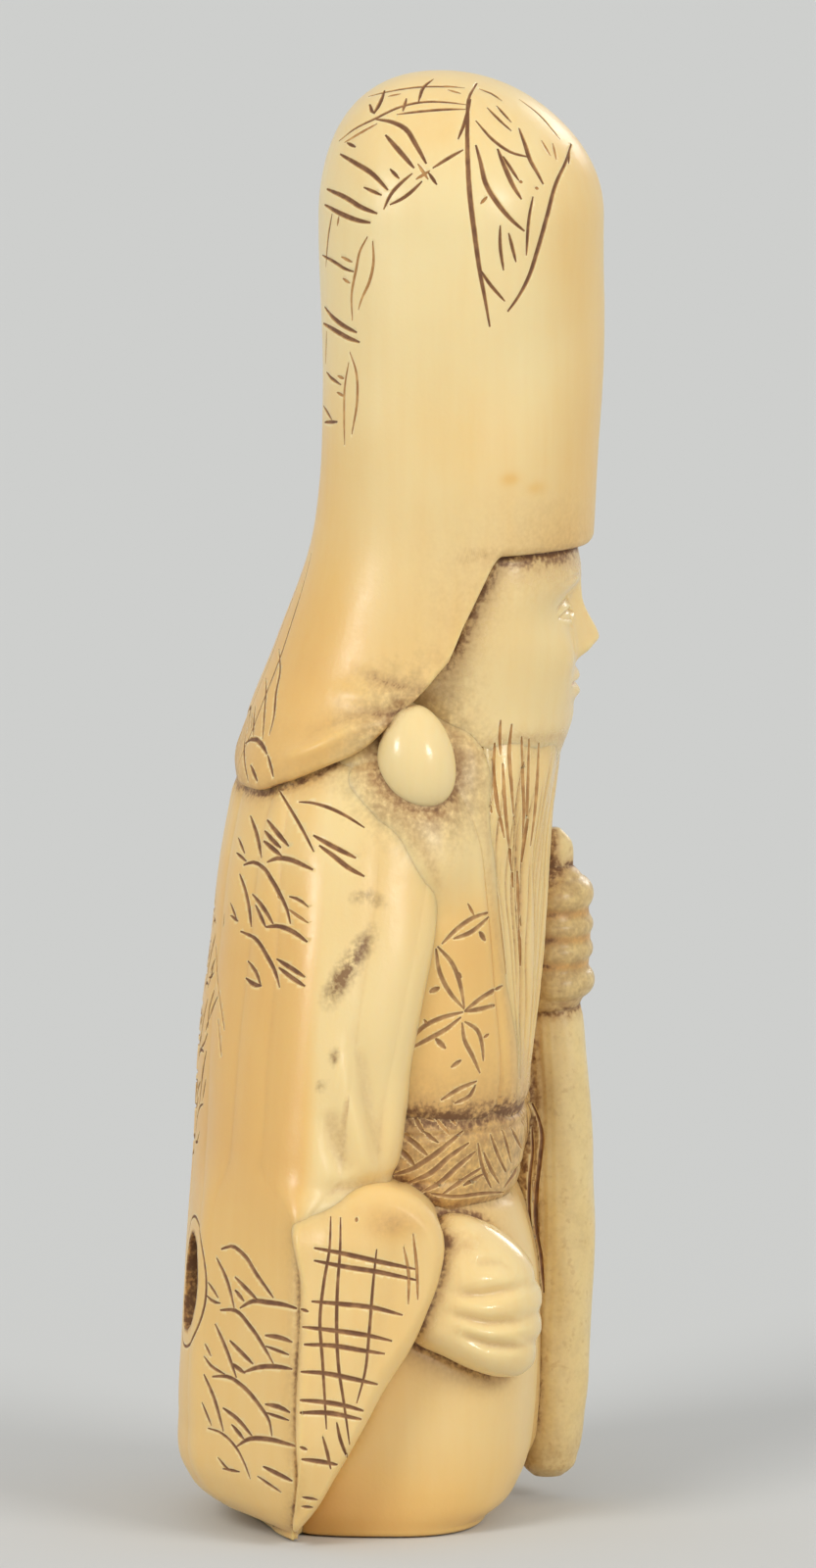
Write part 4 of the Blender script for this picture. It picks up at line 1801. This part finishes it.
COAT_FOOT_LINES = {
    "bold": [
        [(-8.02, 12.71), (-7.5, 12.85), (-6.96, 12.47), (-6.31, 11.49), (-5.49, 10.35)],
        [(-8.24, 12.28), (-7.77, 11.28), (-7.39, 9.86)],
        [(-7.36, 11.36), (-6.85, 10.84), (-6.25, 10.24)], [(-7.36, 10.73), (-6.9, 10.19)],
        [(-7.12, 9.86), (-6.52, 10.19), (-5.76, 10.14), (-5.0, 10.03), (-4.35, 9.84)],
        [(-8.07, 9.76), (-7.39, 9.76), (-6.63, 8.99), (-5.98, 8.02), (-5.49, 7.15)],
        [(-8.32, 9.1), (-7.88, 8.13), (-7.28, 6.49)], [(-7.61, 8.29), (-7.07, 7.74), (-6.47, 7.15)],
        [(-7.56, 7.2), (-6.85, 6.71)], [(-6.9, 6.77), (-6.31, 6.98), (-5.44, 7.04), (-4.57, 6.91)],
        [(-5.9, 8.54), (-5.22, 8.45), (-4.57, 8.21)],
        [(-8.45, 6.55), (-7.72, 6.55), (-6.96, 6.06), (-6.2, 5.19), (-5.71, 4.43), (-5.57, 3.67)],
        [(-8.86, 6.66), (-8.37, 5.52), (-7.91, 3.89)],
        [(-7.94, 5.03), (-7.28, 4.54), (-6.52, 3.67)], [(-7.52, 4.23), (-6.9, 3.51)],
        [(-7.26, 3.18), (-6.74, 3.51), (-5.87, 3.54), (-4.89, 3.32), (-4.4, 3.18)],
        [(-5.9, 5.21), (-5.22, 5.08), (-4.68, 4.81)], [(-6.0, 2.2), (-4.57, 1.5)],
    ],
    "plain": [
        [(-8.66, 11.11), (-8.15, 10.35)], [(-8.72, 10.46), (-8.43, 10.19), (-8.05, 10.1)],
        [(-5.87, 8.02), (-4.73, 7.6)], [(-8.81, 8.13), (-8.51, 7.53)],
        [(-8.86, 7.53), (-8.48, 7.04), (-7.83, 6.66)], [(-5.87, 4.81), (-4.73, 4.43)],
        [(-8.95, 5.3), (-8.48, 4.16)],
        [(-8.66, 4.05), (-8.15, 3.89), (-7.39, 3.23), (-6.9, 2.36), (-6.61, 1.6)],
        [(-8.18, 2.64), (-7.77, 2.15), (-7.5, 1.95)], [(-7.94, 2.09), (-7.12, 1.95)],
        [(-6.27, 1.73), (-5.11, 0.95)],
    ],
}
SLEEVE_LINES = {
    "bold": [
        [(-3.53, 12.77), (-2.03, 12.48), (-0.55, 12.14), (1.38, 11.74)],
        [(-3.53, 12.16), (-2.03, 11.86), (-0.55, 11.63), (1.44, 11.21)],
        [(-3.65, 10.18), (-2.03, 10.04), (-0.55, 9.86), (0.76, 9.52)],
        [(-4.1, 8.95), (-2.6, 8.78), (-0.89, 8.53), (0.25, 8.27)],
        [(-4.02, 8.1), (-2.6, 8.04), (-0.89, 7.76), (-0.1, 7.65)],
        [(-4.17, 6.78), (-3.17, 6.73), (-1.69, 6.45), (-0.44, 6.17)],
        [(-4.22, 5.41), (-3.17, 5.33), (-2.03, 5.14), (-1.12, 4.89)],
        [(-4.22, 4.8), (-2.94, 4.8), (-1.23, 4.48)], [(-4.14, 2.55), (-3.17, 2.43), (-2.14, 2.24)],
    ],
    "plain": [
        [(-4.1, 0.72), (-3.34, 0.59)], [(-4.14, 0.27), (-3.57, 0.22)],
        [(-4.17, 9.81), (-3.79, 9.69)], [(-4.22, 3.15), (-3.85, 3.01)],
        [(-2.71, 14.3), (-2.77, 12.77), (-3.05, 11.06), (-3.23, 9.35), (-3.11, 7.3), (-3.0, 5.37),
         (-2.92, 4.0)],
        [(-2.24, 14.25), (-2.26, 12.77), (-2.39, 10.83), (-2.43, 8.78), (-2.32, 6.85),
         (-2.09, 5.37), (-1.8, 3.26)],
        [(-0.49, 12.71), (-0.66, 11.06), (-0.84, 8.78), (-1.06, 6.73), (-1.46, 5.25)],
        [(-3.11, 3.66), (-2.88, 2.86), (-2.71, 2.07)],
        [(-2.43, 4.34), (-2.26, 3.55), (-1.92, 2.64)],
    ],
    "faint": [
        [(0.81, 12.82), (1.04, 11.63), (1.04, 10.04)], [(1.27, 13.45), (1.44, 11.86), (1.5, 10.26)],
        [(-1.46, 14.25), (-1.48, 14.02)],
    ],
}
CHEST_LINES = {
    "soft": [
        [(4.46, 28.06), (4.78, 27.63)], [(2.06, 25.13), (2.55, 25.37)],
        [(2.34, 22.9), (2.85, 22.41)],
    ],
    "thin": [
        [(2.66, 27.46), (3.37, 28.17), (4.13, 28.71), (4.89, 28.98)],
        [(3.21, 27.71), (4.02, 28.01), (4.94, 28.77)],
        [(2.37, 27.25), (2.55, 26.11), (3.04, 25.13), (3.75, 24.31)],
        [(2.44, 27.35), (3.15, 26.54), (3.59, 25.34), (3.75, 24.37)],
        [(3.37, 26.11), (3.61, 25.83)], [(3.75, 24.2), (4.35, 24.69), (5.0, 25.13), (5.6, 25.45)],
        [(3.75, 24.2), (4.46, 24.31), (5.22, 24.51)],
        [(3.69, 24.17), (2.61, 23.88), (1.74, 23.44), (1.06, 22.68)],
        [(3.59, 23.93), (2.93, 23.39), (1.96, 22.85), (1.13, 22.41)],
        [(3.64, 23.66), (3.75, 22.85), (4.13, 22.08), (4.51, 21.22)],
        [(3.75, 23.71), (4.35, 23.33), (4.62, 22.52), (4.67, 21.81)], [(3.1, 21.49), (3.59, 21.85)],
        [(2.61, 19.91), (3.48, 20.45), (4.35, 20.83)],
        [(4.29, 20.67), (4.02, 20.13), (3.26, 19.75)],
    ],
    "faint": [
        [(3.91, 29.42), (4.24, 28.82)], [(1.79, 23.82), (2.01, 23.5)],
        [(4.67, 22.93), (4.94, 23.12)],
    ],
}
SASH_LINES = {
    "soft": [
        [(0.54, 18.39), (1.2, 17.96), (1.96, 17.25)], [(0.46, 17.68), (0.98, 17.19), (1.36, 16.71)],
        [(0.33, 16.3), (1.09, 16.54), (2.17, 17.19), (3.69, 18.44)],
        [(0.87, 15.84), (2.17, 16.43), (3.04, 17.19), (3.97, 17.85)],
        [(1.68, 15.46), (2.5, 15.89), (3.48, 16.76), (4.29, 17.43)],
        [(5.65, 15.67), (6.19, 16.43), (6.68, 17.41)],
    ],
    "thin": [
        [(2.66, 15.33), (3.59, 16.0), (4.62, 16.67)], [(3.69, 15.78), (4.73, 16.38)],
        [(2.12, 15.4), (3.26, 15.24), (4.56, 15.4), (5.65, 15.46)],
        [(4.4, 17.85), (4.67, 16.54), (5.05, 15.67)], [(5.0, 18.28), (5.32, 17.41), (5.76, 16.43)],
        [(4.67, 17.41), (5.05, 16.54), (5.43, 15.89)],
        [(5.54, 18.61), (5.81, 17.74), (6.03, 16.87)], [(5.98, 18.61), (6.52, 17.58)],
        [(1.3, 19.15), (1.79, 18.34)], [(1.79, 18.39), (2.5, 17.85)],
    ],
    "faint": [
        [(1.63, 19.21), (2.28, 18.93)], [(2.34, 19.04), (3.04, 18.23)],
        [(2.99, 19.15), (3.37, 18.72)],
    ],
}
HAIR_LINES = {
    "hair": [
        [(4.14, 37.4), (4.45, 35.2), (4.74, 33.3), (4.97, 32.2)],
        [(5.21, 37.2), (5.16, 35.7), (5.33, 34.3), (5.68, 32.6)],
        [(6.04, 38.1), (5.92, 36.9), (6.04, 35.0), (6.16, 33.3)],
        [(6.87, 37.4), (6.82, 35.2), (6.75, 33.3), (6.5, 31.4)],
        [(4.62, 37.0), (4.78, 35.2), (5.07, 33.8)],
        [(6.51, 37.5), (6.58, 35.2), (6.63, 33.8), (6.55, 32.4)],
        [(7.34, 37.2), (7.29, 35.7), (7.15, 33.8), (6.95, 32.2)],
        [(5.6, 36.2), (5.7, 34.4), (5.95, 31.8), (6.1, 30.2)],
        [(5.0, 31.8), (5.25, 30.0), (5.5, 28.0), (5.75, 26.0)],
        [(6.3, 31.0), (6.4, 28.6), (6.45, 26.4)],
    ],
    "faint": [
        [(4.3, 33.2), (4.6, 31.6), (4.8, 30.4)], [(5.5, 38.3), (5.45, 37.4), (5.5, 36.6)],
    ],
}
NAPE_LINES = {
    "plain": [
        [(-1.9, 47.0), (-2.6, 42.0), (-2.9, 38.5), (-2.7, 36.4)],
        [(-0.5, 46.0), (-0.7, 42.0), (-0.9, 38.6)], [(1.0, 46.6), (1.2, 42.5), (1.1, 38.6)],
        [(2.5, 45.5), (3.0, 41.5), (3.1, 37.0)],
    ],
    "bold": [
        [(-2.0, 38.4), (-0.4, 39.3), (1.4, 38.3), (2.0, 36.4)], [(-0.8, 37.8), (-0.2, 36.5)],
        [(0.6, 38.0), (1.0, 36.6)],
    ],
}
WEB_LINES = {
    "bold": [
        [(7.01, 19.78), (7.29, 19.12), (7.48, 18.36), (7.39, 17.04), (7.26, 15.8), (7.2, 14.76),
         (7.24, 13.63), (7.43, 12.49), (7.53, 11.35), (7.58, 10.6)],
    ],
    "plain": [
        [(7.01, 18.65), (7.04, 17.41), (6.9, 16.09), (6.87, 14.76), (6.98, 13.63), (7.2, 12.7)],
    ],
}


def shifted(drawing, across, up, flip=1.0):
    """The same strokes moved, and mirrored where flip is -1."""
    return {
        weight: [[(flip * a + across, b + up) for a, b in line] for line in lines]
        for weight, lines in drawing.items()
    }


def both(*drawings):
    """The same drawings on the right and on the left flank."""
    return [(side, drawing) for side in ("right", "left") for drawing in drawings]


def ring(x, z, half_x, half_z, start=0.3):
    """An open oval: (x + a cos t, z + b sin t)."""
    t = np.linspace(start, start + 5.9, 26)
    return np.stack((x + half_x * np.cos(t), z + half_z * np.sin(t)), axis=1).tolist()


def weave(first, last, low, high, pitch=0.55, cell=2.2):
    """Groups of slanted strokes that change direction from cell to cell, like plaited straw."""
    lines = []
    for number, left in enumerate(np.arange(first, last, cell)):
        lean = 1.0 if number % 2 else -1.0
        for along_cell in np.arange(0.0, cell, pitch):
            x = left + along_cell
            lines.append([(x - 0.8 * lean, low), (x, (low + high) / 2), (x + 0.8 * lean, high)])
    return lines


HOLE_RINGS = {"plain": [
    ring(-HOLE_X, HOLE_LEVEL, 2.45, 3.15), ring(HOLE_X, HOLE_LEVEL, 2.45, 3.15, start=2.2),
]}
ENGRAVING = {
    "hood": [*both(HOOD_LINES), ("back", NAPE_LINES)],
    "coat": [
        *both(COAT_TOP_LINES, COAT_FOOT_LINES),
        ("back", shifted(COAT_FOOT_LINES, 5.6, 16.4)),
        ("back", shifted(COAT_FOOT_LINES, -6.2, 19.4, -1.0)),
        ("back", HOLE_RINGS),
    ],
    "head": both(HAIR_LINES),
    "beard": both(HAIR_LINES),
    "right_sleeve": [("right", SLEEVE_LINES)],
    "left_sleeve": [("left", SLEEVE_LINES)],
    "chest": [("right", CHEST_LINES)],
    "staff": [("right", WEB_LINES)],
    "sash": [("right", SASH_LINES), ("front", {"plain": weave(-2.2, 7.0, 17.0, 20.2)})],
}
for node, groups in ENGRAVING.items():
    print(node, "strokes:", engrave(BY_NODE[node], groups))
    tell(BY_NODE[node])

# %% [markdown]
# ## Table, light and camera
#
# The figure stands on one wide pale sheet, so no horizon shows. Two soft lamps light it, the
# stronger one on the camera's left, and three more show only as reflections on the polish. The
# camera looks at its right side from a little above with a long lens, as one photographs a small
# carving.

# %% Table
def add_table():
    """A pale sheet that reaches nine metres each way, just below the foot."""
    reach, level = 9000.0, -0.02
    square = ((-reach, -reach), (reach, -reach), (reach, reach), (-reach, reach))
    sheet = add_mesh("table", [(x, y, level) for x, y in square], [(0, 1, 2, 3)])
    sheet.data.materials.append(Paint("pale_table").complete({
        "Base Color": seen(207, 208, 206), "Roughness": 0.9, "Specular IOR Level": 0.0,
    }))


add_table()

# %% Lights
def soft_sun(name, bearing, rise, spread, power, sheen=False):
    """A broad far lamp: bearing turns from the camera's side towards the face, in degrees.

    With sheen it only shows as a reflection, as a soft box does that is bright but far aside.
    """
    lamp = bpy.data.lights.new(name, "SUN")
    lamp.angle = math.radians(spread)
    lamp.energy = power
    turn, lift = math.radians(bearing), math.radians(rise)
    level = math.cos(lift)
    place = Vector((-math.cos(turn) * level, -math.sin(turn) * level, math.sin(lift)))
    holder = bpy.data.objects.new(name, lamp)
    holder.location = place * 0.6
    holder.rotation_euler = place.to_track_quat("Z", "Y").to_euler()
    holder.visible_diffuse = not sheen
    holder.visible_glossy = sheen
    bpy.context.scene.collection.objects.link(holder)


soft_sun("key", -38.0, 36.0, 24.0, 1.12)
soft_sun("fill", 48.0, 30.0, 24.0, 1.00)
soft_sun("left_sheen", -50.0, 14.0, 9.0, 0.68, sheen=True)
soft_sun("right_sheen", 36.0, 14.0, 7.0, 0.52, sheen=True)
soft_sun("far_sheen", 150.0, 20.0, 18.0, 0.40, sheen=True)
world = bpy.data.worlds.new("studio")
world.use_nodes = True
background = world.node_tree.nodes["Background"].inputs
background["Color"].default_value = (1.0, 1.0, 1.0, 1.0)
background["Strength"].default_value = 0.62
bpy.context.scene.world = world
bpy.context.scene.view_settings.view_transform = "Standard"
print("light from all sides:", background["Strength"].default_value)

# %% Camera
VIEW_HEIGHT = 75.8


def add_camera():
    """Looks along +X, tilted down, centred so that the figure fills the frame as photographed."""
    camera = bpy.data.cameras.new("camera")
    camera.sensor_fit = "VERTICAL"
    camera.angle = 2.0 * math.atan(VIEW_HEIGHT / 2 / DISTANCE)
    camera.clip_end = 50.0
    holder = bpy.data.objects.new("camera", camera)
    holder.location = CAMERA * MM
    holder.rotation_euler = FORWARD.to_track_quat("-Z", "Y").to_euler()
    bpy.context.scene.collection.objects.link(holder)
    bpy.context.scene.camera = holder


add_camera()
